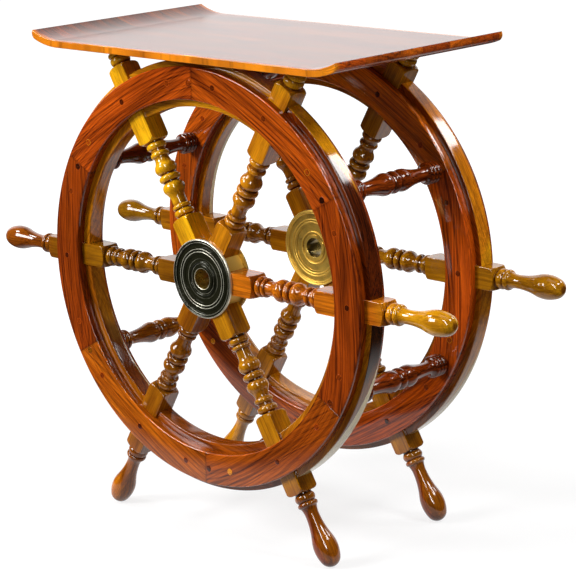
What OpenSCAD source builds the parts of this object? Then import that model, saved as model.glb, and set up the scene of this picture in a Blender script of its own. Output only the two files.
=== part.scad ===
// End table made of two ship's wheels that stand side by side on their lower handles.
// X runs along the tabletop, -Y is the front wheel's side and Z is up. The origin is on the floor,
// under the middle of the table.

/* [Wheels] */
// Distance between the middle planes of the two wheels
wheel_spacing = 201.8; // [180:0.1:240]
// Thickness of a wheel across both of its rings
wheel_t = 45; // [42:0.5:52]
// Outer radius of the rings of felloes
rim_outer_r = 260; // [240:0.5:290]
// Width of the rings of felloes
rim_width = 40; // [36:0.5:46]
// Thickness of one felloe
felloe_t = 12; // [10:0.5:13]
// Rounding of the felloes' two outside edges
felloe_arris = 1.8; // [0.5:0.1:3]
// How far the fillers stand out of the rings on the outside
filler_out = 7.5; // [3:0.5:10]
// How far the fillers stand out of the rings on the inside
filler_in = 10; // [4:0.5:14]
// Rounding of the fillers' edges
filler_arris = 1.2; // [0.4:0.1:3]

/* [Spoke blocks] */
// Side of the square blocks of a spoke
block_w = 28; // [26:0.5:30]
// How far the outer block reaches in from the rim
outer_block_in = 38.5; // [32:0.5:40]
// How far the outer block reaches out of the rim
outer_block_out = 25.8; // [16:0.5:30]
// Rounding that is turned on the ends of the blocks
shoulder_r = 5; // [3:0.1:6]

/* [Spoke turning] */
// Width of the bead beside each block
wide_bead_w = 8.9; // [7:0.1:9.5]
// Width of the second bead, on the hub's side
inner_bead_w = 5.7; // [4:0.1:7]
// Width of the second bead, on the rim's side
outer_bead_w = 6.7; // [5:0.1:7.5]
// Crest radius of these beads
bead_r = 12.8; // [11.5:0.1:13.5]
// Radius at the bottom of the grooves
groove_r = 9.4; // [8:0.1:10.5]
// Width of the grooves
groove_w = 1.5; // [0.8:0.1:2]
// Width of the groove between the two beads on the rim's side
rim_groove_w = 3.6; // [2:0.1:4]
// Radius of the two thin necks
neck_r = 9.1; // [8:0.1:10]
// Length of the straight neck beside the hub's vase
neck_len = 8; // [6:0.1:10]
// Radius of the bellies of the two vases
belly_r = 13.9; // [12:0.1:14]
// Length of the hub's vase
inner_vase_len = 21.9; // [20:0.1:23]
// Length of the rim's vase
outer_vase_len = 21.2; // [19:0.1:22]
// Distance from a vase's foot to its belly
belly_to_foot = 7.5; // [6:0.1:8]
// Crest radius of the middle bead
middle_bead_r = 13.6; // [12:0.1:14]
// Width of the middle bead
middle_bead_w = 8.6; // [7:0.1:9]
// Width of the grooves beside the middle bead
middle_groove_w = 1.375; // [0.8:0.025:2]

/* [Handles] */
// Length of a handle from its block to its tip
handle_len = 95.5; // [88:0.5:104]
// Radius of the round tip that the table stands on
tip_r = 13; // [11:0.1:13.5]
// Greatest radius of the grip
grip_r = 15.1; // [14.4:0.1:17]
// Distance from the tip back to the greatest radius
grip_back = 24.3; // [22:0.1:27]
// Radius of the waist of the grip
waist_r = 8.5; // [7.5:0.1:10]
// Distance from the block to the waist
waist_at = 28.2; // [26:0.1:31]
// Width of the first bead of the handle
handle_bead_w = 10.3; // [9:0.1:11]
// Width of the second bead of the handle
collar_w = 6.5; // [5:0.1:7]
// Radius at the foot of the collar
collar_foot_r = 10.4; // [9.5:0.1:11]

/* [Pins] */
// Radius of the pins and of the stretchers' tenons
pin_r = 4; // [3:0.1:5]
// Distance from the rim's outer edge in to the circle that the pins and the stretchers stand on
pin_inset = 19.5; // [16:0.5:24]
// Angle from a rim joint to the pins beside it
pin_spread = 9.2; // [6:0.1:12]
// Angle by which the pins lie past the spokes and the rim joints
pin_turn = 0.8; // [0:0.1:2]
// Angle by which the stretchers lie past the rim joints
stretcher_turn = 1.2; // [0:0.1:2]

/* [Stretchers] */
// Width of the three small beads at each end, together
end_beads_w = 19; // [16:0.1:21]
// Crest radius of the small beads
end_bead_r = 13.6; // [12:0.1:15]
// Radius of the neck of a stretcher
stretcher_neck_r = 8.4; // [7:0.1:9.5]
// Distance from the wheel to that neck
stretcher_neck_at = 26; // [24:0.1:29]
// Greatest radius of a stretcher
stretcher_belly_r = 13.7; // [12.5:0.1:15.5]
// Distance from the middle of a stretcher to its greatest radius
stretcher_belly_at = 16; // [14:0.1:18]
// Width of the bead in the middle of a stretcher
stretcher_bead_w = 11; // [9:0.1:12]
// Radius of the grooves beside that bead
stretcher_groove_r = 10.8; // [9:0.1:12]

/* [Hubs] */
// Radius of the hub's bore
bore_r = 12.7; // [10:0.1:14]
// Outer radius of the sleeve round the bore
sleeve_r = 16.9; // [15.5:0.1:19]
// Radius of the face plates
plate_r = 49.3; // [46:0.1:56]
// Thickness of the face plates
plate_t = 2; // [1.5:0.1:3]
// Radius of the drum between the plates
drum_r = 44; // [36:0.5:45]
// Radius of the small raised rings on the plates
plate_bead_r = 0.9; // [0.5:0.1:1.1]
// Radius of the bead round the rim of a plate
plate_rim_r = 1.6; // [1:0.1:2]

/* [Tabletop] */
// Length of the tabletop over its turned-up ends
top_length = 510; // [480:1:560]
// How far the tabletop reaches past the outside faces of the wheels
top_overhang = 26.1; // [10:0.1:40]
// Thickness of the tabletop
top_t = 9; // [8:0.5:12]
// Space between the fillers and the tabletop's underside
top_gap = 2.3; // [1:0.1:4]
// Length of each end that sweeps up
sweep_len = 45; // [38:1:55]
// Radius of the sweep on the upper surface
sweep_r = 100; // [90:1:120]
// Rounding of the outer lower edge of a turned-up end
nose_r = 8; // [6:0.1:8.5]
// Radius of the tenons on top of the upper spokes
tenon_r = 6; // [4:0.1:7]
// Height of these tenons in the tabletop
tenon_h = 5; // [3:0.1:6]

/* [Fits] */
// Clearance round a pin or tenon in its hole
fit = 0.05; // [0.02:0.01:0.1]

/* [Hidden] */
$fn = 96;
SPOKES = 6;
STEP = 360 / SPOKES;
SIDES = ["right", "upper_right", "upper_left", "left", "lower_left", "lower_right"];
RAILS = ["right_upper", "top", "left_upper", "left_lower", "bottom", "right_lower"];
WHEELS = ["front", "rear"];
RINGS = ["outer", "inner"];
END_BEADS = 3;
ARC_STEPS = 12;
SIXTHS = [0 : SPOKES - 1];

// The wheel lies flat in its own frame: X to the right, Y up the wheel and Z out of its outside face.
half_t = wheel_t / 2;
half_block = block_w / 2;
// How far the turned shoulders start outside the corners of a block
shoulder_edge = 0.4;
rim_inner_r = rim_outer_r - rim_width;
pin_circle_r = rim_outer_r - pin_inset;
outer_block_start = rim_inner_r - outer_block_in;
outer_block_end = rim_outer_r + outer_block_out;
tip_at = outer_block_end + handle_len;
filler_t = wheel_t - 2 * felloe_t;
filler_inner_r = rim_inner_r - filler_in;
filler_outer_r = rim_outer_r + filler_out;
top_under = filler_outer_r + top_gap;
hub_h = (tip_at - tip_r) * sin(STEP) + tip_r;
clear_gap = wheel_spacing - wheel_t;
flat_half = top_length / 2 - sweep_len;
top_width = wheel_spacing + wheel_t + 2 * top_overhang;
// Longer than anything that it cuts
reach = 2 * tip_at;
// How much lower the crest of a second bead is
bead_step = 0.8;
// Height of the small beads of a stretcher above their edges
end_bead_rise = 2.4;
// Width of the flat beside the middle bead of a stretcher
stretcher_gap = 0.5;
// Height of the lip round the bore above the plates
lip_h = 0.5;
// Depth of the sunk bands on the plates, and where the raised rings and the bands lie
recess_t = 0.8;
plate_rings = [bore_r + 8, plate_r - 15.8, plate_r - 12.3, plate_r - 4.3];
plate_recesses = [
    [bore_r + 1.3, bore_r + 6.8],
    [bore_r + 9.3, bore_r + 17.3],
    [plate_r - 9.3, plate_r - 5.8]
];

// Stations along a spoke, as distances from the wheel's centre. The turning is set out inwards from the
// outer block, and the inner block takes up what it leaves.
last_bead = outer_block_start - groove_w - wide_bead_w;
third_bead = last_bead - rim_groove_w - outer_bead_w;
outer_vase = third_bead - groove_w;
outer_foot = outer_vase - outer_vase_len;
middle_at = outer_foot - middle_groove_w - middle_bead_w / 2;
inner_foot = middle_at - middle_bead_w / 2 - middle_groove_w;
inner_vase = inner_foot - inner_vase_len;
inner_neck = inner_vase - neck_len;
second_bead = inner_neck - inner_bead_w;
first_bead = second_bead - groove_w / 2 - wide_bead_w;
inner_block_end = first_bead - groove_w;
handle_bead = outer_block_end + groove_w;
collar = handle_bead + handle_bead_w;
waist = outer_block_end + waist_at;
grip = tip_at - grip_back;

// Radius of the arc with the given half chord and rise
function arc_r(half_chord, rise) = (half_chord * half_chord + rise * rise) / (2 * rise);

// Turning profiles: X is the radius and Y runs along the axis.

// Convex ring between a and b, from the radius at its edges to the radius of its crest
module bead(a, b, edge_r, crest_r) {
    arc = arc_r((b - a) / 2, crest_r - edge_r);
    intersection() {
        translate([0, a]) square([crest_r, b - a]);
        translate([crest_r - arc, (a + b) / 2]) circle(r = arc);
    }
}

// Plain length between a and b
module barrel(a, b, r) {
    translate([0, min(a, b)]) square([r, abs(b - a)]);
}

// Hollow that rises from its lowest radius at a to edge_r at b
module cove(a, b, low_r, edge_r) {
    arc = arc_r(abs(b - a), edge_r - low_r);
    difference() {
        barrel(a, b, edge_r);
        translate([low_r + arc, a]) circle(r = arc);
    }
}

// Vase: a hollow from the neck runs smoothly into a round belly, which falls to the foot
module vase(neck_at, neck_rad, belly_at, belly_rad, round_r, foot_at) {
    over = belly_rad - neck_rad;
    hollow_r = (pow(belly_at - neck_at, 2) / over - 2 * round_r + over) / 2;
    share = round_r / (round_r + hollow_r);
    meet_at = belly_at + (neck_at - belly_at) * share;
    meet_r = belly_rad - round_r + (hollow_r + round_r - over) * share;
    intersection() {
        barrel(meet_at, foot_at, belly_rad);
        translate([belly_rad - round_r, belly_at]) circle(r = round_r);
    }
    difference() {
        barrel(neck_at, meet_at, meet_r);
        translate([neck_rad + hollow_r, neck_at]) circle(r = hollow_r);
    }
}

// Turned length between the inner and the outer block
module spoke_turning() {
    round_r = arc_r(belly_to_foot, belly_r - groove_r);
    barrel(inner_block_end - shoulder_r, outer_block_start + shoulder_r, min(neck_r, groove_r));
    barrel(inner_block_end - shoulder_r, inner_neck, groove_r);
    bead(first_bead, first_bead + wide_bead_w, groove_r, bead_r);
    bead(second_bead, second_bead + inner_bead_w, groove_r, bead_r - bead_step);
    vase(inner_vase, neck_r, inner_foot - belly_to_foot, belly_r, round_r, inner_foot);
    bead(middle_at - middle_bead_w / 2, middle_at + middle_bead_w / 2, groove_r, middle_bead_r);
    vase(outer_vase, neck_r, outer_foot + belly_to_foot, belly_r, round_r, outer_foot);
    barrel(inner_foot, outer_foot, groove_r);
    barrel(outer_vase, outer_block_start + shoulder_r, groove_r);
    bead(third_bead, third_bead + outer_bead_w, groove_r, bead_r - bead_step);
    bead(last_bead, last_bead + wide_bead_w, groove_r, bead_r);
}

// Handle: bead, collar, waist, grip and round tip
module handle_turning() {
    tip_centre = tip_at - tip_r;
    lead = tip_centre - grip;
    grip_arc = (pow(lead, 2) + pow(grip_r, 2) - pow(tip_r, 2)) / (2 * (grip_r - tip_r));
    tip_meet = grip + lead * grip_arc / (grip_arc - tip_r);
    barrel(outer_block_end - shoulder_r, collar + collar_w, collar_foot_r);
    barrel(outer_block_end, (tip_meet + tip_at) / 2, tip_r / 2);
    bead(handle_bead, handle_bead + handle_bead_w, collar_foot_r, bead_r);
    bead(collar, collar + collar_w, collar_foot_r, bead_r);
    cove(waist, collar + collar_w, waist_r, collar_foot_r);
    vase(waist, waist_r, grip, grip_r, grip_arc, tip_meet);
    intersection() {
        translate([0, tip_centre]) circle(r = tip_r);
        barrel(tip_meet, tip_at, tip_r);
    }
}

// Square block from a to b along Z whose ends are rounded in the lathe
module block(a, b, round_start) {
    edge_r = half_block * sqrt(2) + shoulder_edge;
    start = round_start ? a + shoulder_r : a;
    intersection() {
        translate([-half_block, -half_block, a]) cube([block_w, block_w, b - a]);
        rotate_extrude() {
            barrel(a, b, edge_r - shoulder_r);
            barrel(start, b - shoulder_r, edge_r);
            translate([edge_r - shoulder_r, b - shoulder_r]) circle(r = shoulder_r);
            if (round_start) translate([edge_r - shoulder_r, start]) circle(r = shoulder_r);
        }
    }
}

// Hole for a pin or tenon through a wheel, at the given angle
module pin_hole(angle) {
    rotate([0, 0, angle]) translate([pin_circle_r, 0, 0])
        cylinder(r = pin_r + fit, h = 2 * wheel_t, center = true);
}

// The holes on both sides of the rim joint that lies past spoke number index
module joint_holes(index) {
    joint = (index + 0.5) * STEP;
    pin_hole(joint + pin_turn - pin_spread);
    pin_hole(joint + pin_turn + pin_spread);
    pin_hole(joint + stretcher_turn);
}

// Space taken by the square block of spoke number index
module block_space(index) {
    rotate([0, 0, index * STEP]) translate([0, -half_block, -half_block])
        cube([reach, block_w, block_w]);
}

// Space above the plane of the tabletop's underside, up to the given height
module above_top(height) {
    translate([-reach / 2, top_under, -reach / 2]) cube([reach, height, reach]);
}

// Whole spoke along X. The inner end is mitred against its neighbours and hollowed round the sleeve.
module whole_spoke() {
    side = reach * tan(STEP / 2);
    difference() {
        union() {
            intersection() {
                rotate([0, 90, 0]) block(0, inner_block_end, false);
                linear_extrude(height = 2 * block_w, center = true)
                    polygon([[0, 0], [reach, -side], [reach, side]]);
            }
            rotate([0, 90, 0]) block(outer_block_start, outer_block_end, true);
            rotate([0, 90, 0]) rotate_extrude() {
                spoke_turning();
                barrel(outer_block_start, outer_block_end, neck_r);
                handle_turning();
            }
        }
        cylinder(r = sleeve_r + fit, h = 2 * block_w, center = true);
        pin_hole(pin_turn);
    }
}

// Round tenon along the axis of an upper spoke, up to its flat end inside the tabletop
module top_tenon(index, r, height) {
    intersection() {
        rotate([0, 0, index * STEP]) rotate([0, 90, 0]) translate([0, 0, outer_block_end])
            cylinder(r = r, h = handle_len);
        translate([0, -height, 0]) above_top(2 * height);
    }
}

// Spoke number index. The two upper ones stop under the tabletop and carry it.
module spoke(index) {
    color([0.72, 0.44, 0.12])
        if (index == 1 || index == 2) {
            difference() {
                rotate([0, 0, index * STEP]) whole_spoke();
                above_top(reach);
            }
            top_tenon(index, tenon_r, tenon_h);
        } else {
            rotate([0, 0, index * STEP]) whole_spoke();
        }
}

// Felloe centred on spoke number index: one sixth of the ring on the wheel's outside face
module felloe(index) {
    arris = felloe_arris;
    color([0.5, 0.19, 0.08])
        difference() {
            rotate([0, 0, (index - 0.5) * STEP]) rotate_extrude(angle = STEP) {
                translate([rim_inner_r, half_t - felloe_t])
                    square([rim_outer_r - rim_inner_r, felloe_t - arris]);
                translate([rim_inner_r + arris, half_t - felloe_t])
                    square([rim_outer_r - rim_inner_r - 2 * arris, felloe_t]);
                for (r = [rim_inner_r + arris, rim_outer_r - arris])
                    translate([r, half_t - arris]) circle(r = arris);
            }
            block_space(index);
            pin_hole(index * STEP + pin_turn);
            joint_holes(index - 1);
            joint_holes(index);
        }
}

// Filler between spokes number index and index + 1, sandwiched by the two rings
module filler(index) {
    arris = filler_arris;
    deep = filler_outer_r - filler_inner_r;
    color([0.62, 0.36, 0.12])
        difference() {
            rotate([0, 0, index * STEP]) rotate_extrude(angle = STEP) {
                translate([filler_inner_r, arris - filler_t / 2]) square([deep, filler_t - 2 * arris]);
                translate([filler_inner_r + arris, -filler_t / 2]) square([deep - 2 * arris, filler_t]);
                for (r = [filler_inner_r + arris, filler_outer_r - arris], side = [-1, 1])
                    translate([r, side * (filler_t / 2 - arris)]) circle(r = arris);
            }
            block_space(index);
            block_space(index + 1);
            joint_holes(index);
        }
}

// Turned rail between the wheels whose thin tenons run right through them
module stretcher(index) {
    end = clear_gap / 2;
    bead_w = end_beads_w / END_BEADS;
    edge_r = end_bead_r - end_bead_rise;
    foot = stretcher_bead_w / 2 + stretcher_gap;
    round_r = arc_r(stretcher_belly_at - foot, stretcher_belly_r - stretcher_groove_r);
    neck = end - stretcher_neck_at;
    color([0.3, 0.12, 0.06])
        rotate([0, 0, (index + 0.5) * STEP + stretcher_turn]) translate([pin_circle_r, 0, 0]) {
            rotate_extrude() {
                barrel(-end - wheel_t, end + wheel_t, pin_r);
                barrel(-end, end, stretcher_neck_r);
                barrel(-foot, foot, stretcher_groove_r);
                bead(-stretcher_bead_w / 2, stretcher_bead_w / 2, stretcher_groove_r, middle_bead_r);
                for (side = [0, 1]) mirror([0, side]) {
                    vase(neck, stretcher_neck_r, stretcher_belly_at, stretcher_belly_r, round_r, foot);
                    cove(neck, end - end_beads_w, stretcher_neck_r, edge_r);
                    for (i = [0 : END_BEADS - 1])
                        bead(end - (i + 1) * bead_w, end - i * bead_w, edge_r, end_bead_r);
                }
            }
        }
}

// Half section of a face plate from the given hole radius out to its rim
module plate_section(hole_r) {
    difference() {
        translate([hole_r, half_block]) square([plate_r - hole_r, plate_t]);
        for (edges = plate_recesses)
            translate([edges[0], half_block + plate_t - recess_t])
                square([edges[1] - edges[0], plate_t]);
    }
    for (r = plate_rings) translate([r, half_block + plate_t]) circle(r = plate_bead_r);
    translate([plate_r - plate_rim_r, half_block + plate_t]) circle(r = plate_rim_r);
}

// Cast hub: outside face plate, sleeve round the bore and a lug between each two spokes
module hub() {
    sleeve_half = half_block + plate_t + lip_h;
    color([0.5, 0.45, 0.2]) {
        rotate_extrude() {
            plate_section(bore_r);
            translate([bore_r, -sleeve_half]) square([sleeve_r - bore_r, 2 * sleeve_half]);
        }
        linear_extrude(height = block_w, center = true)
            difference() {
                circle(r = drum_r);
                for (i = SIXTHS) rotate(i * STEP) translate([0, -half_block]) square([reach, block_w]);
            }
    }
}

// Cover plate on the inside face of the wheel, round the end of the sleeve
module hub_cover() {
    color([0.75, 0.6, 0.22])
        mirror([0, 0, 1]) rotate_extrude() plate_section(sleeve_r + fit);
}

// The pins of one wheel, flush with both rings
module wheel_pins() {
    for (i = SIXTHS, turn = [0, STEP / 2 - pin_spread, STEP / 2 + pin_spread])
        rotate([0, 0, i * STEP + turn + pin_turn]) translate([pin_circle_r, 0, 0])
            cylinder(r = pin_r, h = wheel_t, center = true);
}

// Points of an arc round the given centre, at angles from straight down towards +X
function arc_points(centre, r, from, to) =
    [for (i = [0 : ARC_STEPS]) let (a = from + (to - from) * i / ARC_STEPS) centre + r * [sin(a), -cos(a)]];

// Outline of the right end of the tabletop: under the sweep, round the nose and back on top
function sweep_points() =
    let (
        under_r = sweep_r + top_t,
        nose_at = under_r - nose_r,
        nose_turn = asin((sweep_len - nose_r) / nose_at),
        centre = [flat_half, top_under + under_r],
        nose_centre = centre + nose_at * [sin(nose_turn), -cos(nose_turn)],
        lip_turn = acos((pow(sweep_r, 2) + pow(nose_at, 2) - pow(nose_r, 2)) / (2 * sweep_r * nose_at)),
        nose_sweep = 180 - acos((pow(nose_at, 2) + pow(nose_r, 2) - pow(sweep_r, 2)) / (2 * nose_at * nose_r))
    )
    concat(
        arc_points(centre, under_r, 0, nose_turn),
        arc_points(nose_centre, nose_r, nose_turn, nose_turn + nose_sweep),
        arc_points(centre, sweep_r, nose_turn + lip_turn, 0)
    );

// Tabletop of one thickness whose ends sweep up, with mortises for the upper spokes
module tabletop() {
    right_end = sweep_points();
    left_end = [for (i = [len(right_end) - 1 : -1 : 0]) [-right_end[i][0], right_end[i][1]]];
    color([0.66, 0.33, 0.1])
        difference() {
            translate([0, 0, hub_h]) rotate([90, 0, 0])
                linear_extrude(height = top_width, center = true) polygon(concat(right_end, left_end));
            for (wheel = WHEELS, index = [1, 2])
                stand(wheel) top_tenon(index, tenon_r + fit, tenon_h + fit);
        }
}

// Stands a wheel up with its outside face to the front, or to the rear for the rear wheel
module stand(wheel) {
    if (wheel == "rear")
        mirror([0, 1, 0]) stand("front") children();
    else
        translate([0, -wheel_spacing / 2, hub_h]) rotate([90, 0, 0]) children();
}

tabletop();

for (wheel = WHEELS, i = SIXTHS) {
    name = str(wheel, "_spoke_", SIDES[i]);
    stand(wheel) spoke(i);
}

for (wheel = WHEELS, i = SIXTHS) {
    name = str(wheel, "_outer_felloe_", SIDES[i]);
    stand(wheel) felloe(i);
}

for (wheel = WHEELS, i = SIXTHS) {
    name = str(wheel, "_inner_felloe_", SIDES[i]);
    stand(wheel) mirror([0, 0, 1]) felloe(i);
}

for (wheel = WHEELS, i = SIXTHS) {
    name = str(wheel, "_filler_", RAILS[i]);
    stand(wheel) filler(i);
}

for (i = SIXTHS) {
    name = str("stretcher_", RAILS[i]);
    translate([0, 0, hub_h]) rotate([90, 0, 0]) stretcher(i);
}

for (wheel = WHEELS) {
    name = str(wheel, "_hub");
    stand(wheel) hub();
}

for (wheel = WHEELS) {
    name = str(wheel, "_hub_cover");
    stand(wheel) hub_cover();
}

for (wheel = WHEELS) stand(wheel) wheel_pins();  // rim_pins
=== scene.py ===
import math

import bpy
import numpy as np
from bpy.props import FloatProperty, FloatVectorProperty, PointerProperty
from mathutils import Matrix, Vector
from mathutils.geometry import tessellate_polygon


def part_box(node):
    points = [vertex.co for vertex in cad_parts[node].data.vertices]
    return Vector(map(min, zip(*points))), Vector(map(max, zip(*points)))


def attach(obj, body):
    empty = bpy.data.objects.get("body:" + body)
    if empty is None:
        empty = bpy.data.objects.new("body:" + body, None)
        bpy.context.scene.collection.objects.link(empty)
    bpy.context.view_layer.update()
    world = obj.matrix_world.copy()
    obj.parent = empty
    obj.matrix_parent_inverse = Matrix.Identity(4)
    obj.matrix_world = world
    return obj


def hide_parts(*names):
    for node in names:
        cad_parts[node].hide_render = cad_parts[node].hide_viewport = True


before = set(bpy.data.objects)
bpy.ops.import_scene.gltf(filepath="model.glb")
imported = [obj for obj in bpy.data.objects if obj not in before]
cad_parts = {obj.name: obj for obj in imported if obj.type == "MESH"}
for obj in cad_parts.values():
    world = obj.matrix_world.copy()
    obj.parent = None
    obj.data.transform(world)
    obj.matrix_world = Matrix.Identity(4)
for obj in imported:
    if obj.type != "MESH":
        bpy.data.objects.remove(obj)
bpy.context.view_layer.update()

bl_info = {
    "name": "Ship Wheel End Table",
    "version": (1, 0, 0),
    "blender": (4, 5, 0),
    "location": "3D View > Sidebar > Wheel Table",
    "description": "Makes a varnished end table of two ship's wheels, and the studio round it",
    "category": "Add Mesh",
}

# The CAD box and the places that every piece is fitted to, in metres
SPOKE_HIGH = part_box("front_spoke_right")[1]
FELLOE_LOW, FELLOE_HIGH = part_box("front_outer_felloe_right")
INNER_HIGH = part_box("front_inner_felloe_right")[1]
FILLER_LOW, FILLER_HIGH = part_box("front_filler_top")
TOP_LOW, TOP_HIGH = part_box("tabletop")
HUB_LOW, HUB_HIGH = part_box("front_hub")

WHEELS = ("front", "rear")
SIDES = ("right", "upper_right", "upper_left", "left", "lower_left", "lower_right")
RAILS = ("right_upper", "top", "left_upper", "left_lower", "bottom", "right_lower")
STEP = math.radians(60)
MM = 0.001
# Radius in the rims that their boards' coordinates are counted from
BOARD_RADIUS = 240 * MM
# Radius of the hollow in the spokes' mitred ends round the sleeve, and of the lugs' inner sides
HOLLOW, LUG_ROOT = 16.95 * MM, 28.02 * MM
# Radius that an outline is cut down to before its grooves are found, so that blocks count as turned parts
TURNED = 15 * MM
# Angle between two faces past which their edge is drawn sharp
SHARP_ANGLE = math.radians(38)


def mm_size(name, description, millimetres):
    """A size of the table as a property, given in millimetres and kept in metres."""
    return FloatProperty(
        name=name, description=description, default=millimetres * MM, min=0, unit="LENGTH", precision=4
    )


def fitted(name, description, metres):
    """A place or size that is read from the frame, kept in metres."""
    return FloatProperty(name=name, description=description, default=metres, unit="LENGTH", precision=4)


def paint(name, description, colour):
    """A colour of the finish as a property."""
    return FloatVectorProperty(
        name=name, description=description, default=colour, size=3, min=0, max=1, subtype="COLOR"
    )


class WheelSizes(bpy.types.PropertyGroup):
    """Places and sizes of the rims, the spoke blocks and the pins."""

    hub_height: fitted("Hub height", "Height of the wheels' centres above the floor",
                       (HUB_LOW.z + HUB_HIGH.z) / 2)
    plane_y: fitted("Wheel plane", "Distance of a wheel's middle plane from the middle of the table",
                    -(FILLER_LOW.y + FILLER_HIGH.y) / 2)
    thick: fitted("Wheel thickness", "Across both rings of felloes", INNER_HIGH.y - FELLOE_LOW.y)
    rim_outer: fitted("Rim radius", "Outer radius of the rings", FELLOE_HIGH.x)
    rim_inner: mm_size("Rim inner radius", "Inner radius of the rings", 220)
    felloe_t: fitted("Felloe thickness", "Thickness of one ring", FELLOE_HIGH.y - FELLOE_LOW.y)
    filler_inner: mm_size("Filler inner radius", "Inner radius of the fillers", 210)
    filler_outer: mm_size("Filler outer radius", "Outer radius of the fillers", 267.5)
    felloe_arris: mm_size("Felloe arris", "Rounding of a felloe's outside edges", 1.8)
    filler_arris: mm_size("Filler arris", "Rounding of a filler's edges", 1.2)
    block: mm_size("Block side", "Side of the square blocks of a spoke", 28)
    pin: mm_size("Pin radius", "Radius of the pins and of the stretchers' tenons", 4)
    pin_circle: mm_size("Pin circle", "Radius of the circle that the pins stand on", 240.5)
    pin_proud: mm_size("Pin dome", "How far the middle of a pin's end stands proud", 0.25)


class SpokeSizes(bpy.types.PropertyGroup):
    """Stations and radii of the turned spokes. Distances run out from the wheel's centre."""

    tip: fitted("Handle tip", "Distance of the tip from the wheel's centre", SPOKE_HIGH.x)
    inner_end: mm_size("Inner block end", "End of the inner block", 80)
    outer_start: mm_size("Outer block start", "Start of the outer block", 181.5)
    outer_end: mm_size("Outer block end", "End of the outer block", 285.8)
    shoulder: mm_size("Shoulder", "Rounding turned on the ends of the blocks", 7)
    groove: mm_size("Groove radius", "Radius at the bottom of the grooves", 9.4)
    neck: mm_size("Neck radius", "Radius of the thin necks", 9.1)
    bead: mm_size("Bead radius", "Crest radius of the beads beside the blocks", 12.8)
    belly: mm_size("Belly radius", "Radius of the vases' bellies", 13.9)
    middle_bead: mm_size("Middle bead radius", "Crest radius of the middle bead", 13.6)
    grip: mm_size("Grip radius", "Greatest radius of the handle", 15.1)
    grip_at: mm_size("Grip station", "Distance of the greatest radius from the wheel's centre", 357)
    tip_radius: mm_size("Tip radius", "Radius of the round tip of a handle", 13)
    waist: mm_size("Waist radius", "Radius of the waist of a handle", 8.5)
    waist_at: mm_size("Waist station", "Distance of the waist from the wheel's centre", 314)


class StretcherSizes(bpy.types.PropertyGroup):
    """Stations and radii of the turned rails. Distances run from the middle of the rail."""

    turn: FloatProperty(name="Turn", description="Angle of the rails past the rim joints",
                        default=math.radians(1.2), subtype="ANGLE")
    neck: mm_size("Neck radius", "Radius of the necks", 8.4)
    neck_from_wheel: mm_size("Neck station", "Distance of a neck from the wheel", 26)
    belly: mm_size("Belly radius", "Greatest radius of the rail", 13.7)
    belly_at: mm_size("Belly station", "Distance of the greatest radius from the middle", 16)
    groove: mm_size("Groove radius", "Radius beside the middle bead", 10.8)
    bead_half: mm_size("Middle bead", "Half the width of the middle bead", 5.5)
    middle_bead: mm_size("Middle bead radius", "Crest radius of the middle bead", 13.6)
    end_beads: mm_size("End beads", "Width of the three small beads together", 19)
    end_bead: mm_size("End bead radius", "Crest radius of the small beads", 13.6)
    end_edge: mm_size("End bead edge", "Radius between the small beads", 11.2)


class HubSizes(bpy.types.PropertyGroup):
    """Sizes of the brass hubs and their cover plates."""

    bore: mm_size("Bore radius", "Radius of the open bore", 12.7)
    sleeve: mm_size("Sleeve radius", "Outer radius of the sleeve round the bore", 16.9)
    plate: fitted("Plate radius", "Radius of a face plate", HUB_HIGH.x)
    plate_t: mm_size("Plate thickness", "Thickness of a face plate", 2)
    lip: mm_size("Lip", "Height of the sleeve's end above the plate", 0.5)
    recess: mm_size("Recess", "Depth of the sunk bands", 0.8)
    bead: mm_size("Ring bead", "Radius of the small raised rings", 0.9)
    rim_bead: mm_size("Rim bead", "Radius of the bead round the rim", 1.6)
    drum: mm_size("Drum radius", "Radius of the drum between the plates", 44)


class TopSizes(bpy.types.PropertyGroup):
    """Sizes of the tabletop."""

    half_length: fitted("Half length", "Half the length over the swept ends", TOP_HIGH.x)
    half_width: fitted("Half width", "Half the width from front to back", TOP_HIGH.y)
    underside: fitted("Underside", "Height of the flat underside above the floor", TOP_LOW.z)
    thick: mm_size("Thickness", "Thickness of the panel", 9)
    sweep_length: mm_size("Sweep length", "Length of each end that sweeps up", 45)
    sweep_radius: mm_size("Sweep radius", "Radius of the sweep on the upper surface", 100)
    nose: mm_size("Nose radius", "Rounding of the outer lower edge", 8)
    arris: mm_size("Arris", "Rounding of the long edges", 0.9)


class FinishColours(bpy.types.PropertyGroup):
    """Colours of the woods and the brass."""

    rosewood_light: paint("Rosewood, light", "Light figure of the felloes", (0.60, 0.088, 0.004))
    rosewood_dark: paint("Rosewood, dark", "Dark streaks of the felloes", (0.10, 0.012, 0.001))
    honey_light: paint("Honey wood, light", "Light figure of the spokes", (0.80, 0.40, 0.006))
    honey_dark: paint("Honey wood, dark", "Dark figure of the spokes", (0.33, 0.11, 0.003))
    # Pale wood made paler still, as painted light and reflection from the white floor
    sapwood: paint("Sapwood", "Pale wood at the edge of some boards", (0.85, 0.68, 0.36))
    brass: paint("Brass", "Bright brass", (0.80, 0.52, 0.09))
    # Paler colour of the worn rings, a painted reflection
    worn_brass: paint("Worn brass", "Pale raised rings of the dark plates", (0.80, 0.77, 0.62))
    bronze: paint("Bronze", "Dark patina of the hubs", (0.022, 0.022, 0.010))


class TableSettings(bpy.types.PropertyGroup):
    """All the sizes and colours of the table."""

    wheel: PointerProperty(type=WheelSizes)
    spoke: PointerProperty(type=SpokeSizes)
    stretcher: PointerProperty(type=StretcherSizes)
    hub: PointerProperty(type=HubSizes)
    top: PointerProperty(type=TopSizes)
    colours: PointerProperty(type=FinishColours)


def settings():
    """The table's sizes and colours in the open scene."""
    return bpy.context.scene.wheel_table


# Profiles

def barrel(s, start, end, radius):
    """Radius of a plain length from start to end at the stations s, and 0 outside it."""
    return np.where((s >= start) & (s <= end), radius, 0.0)


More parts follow.
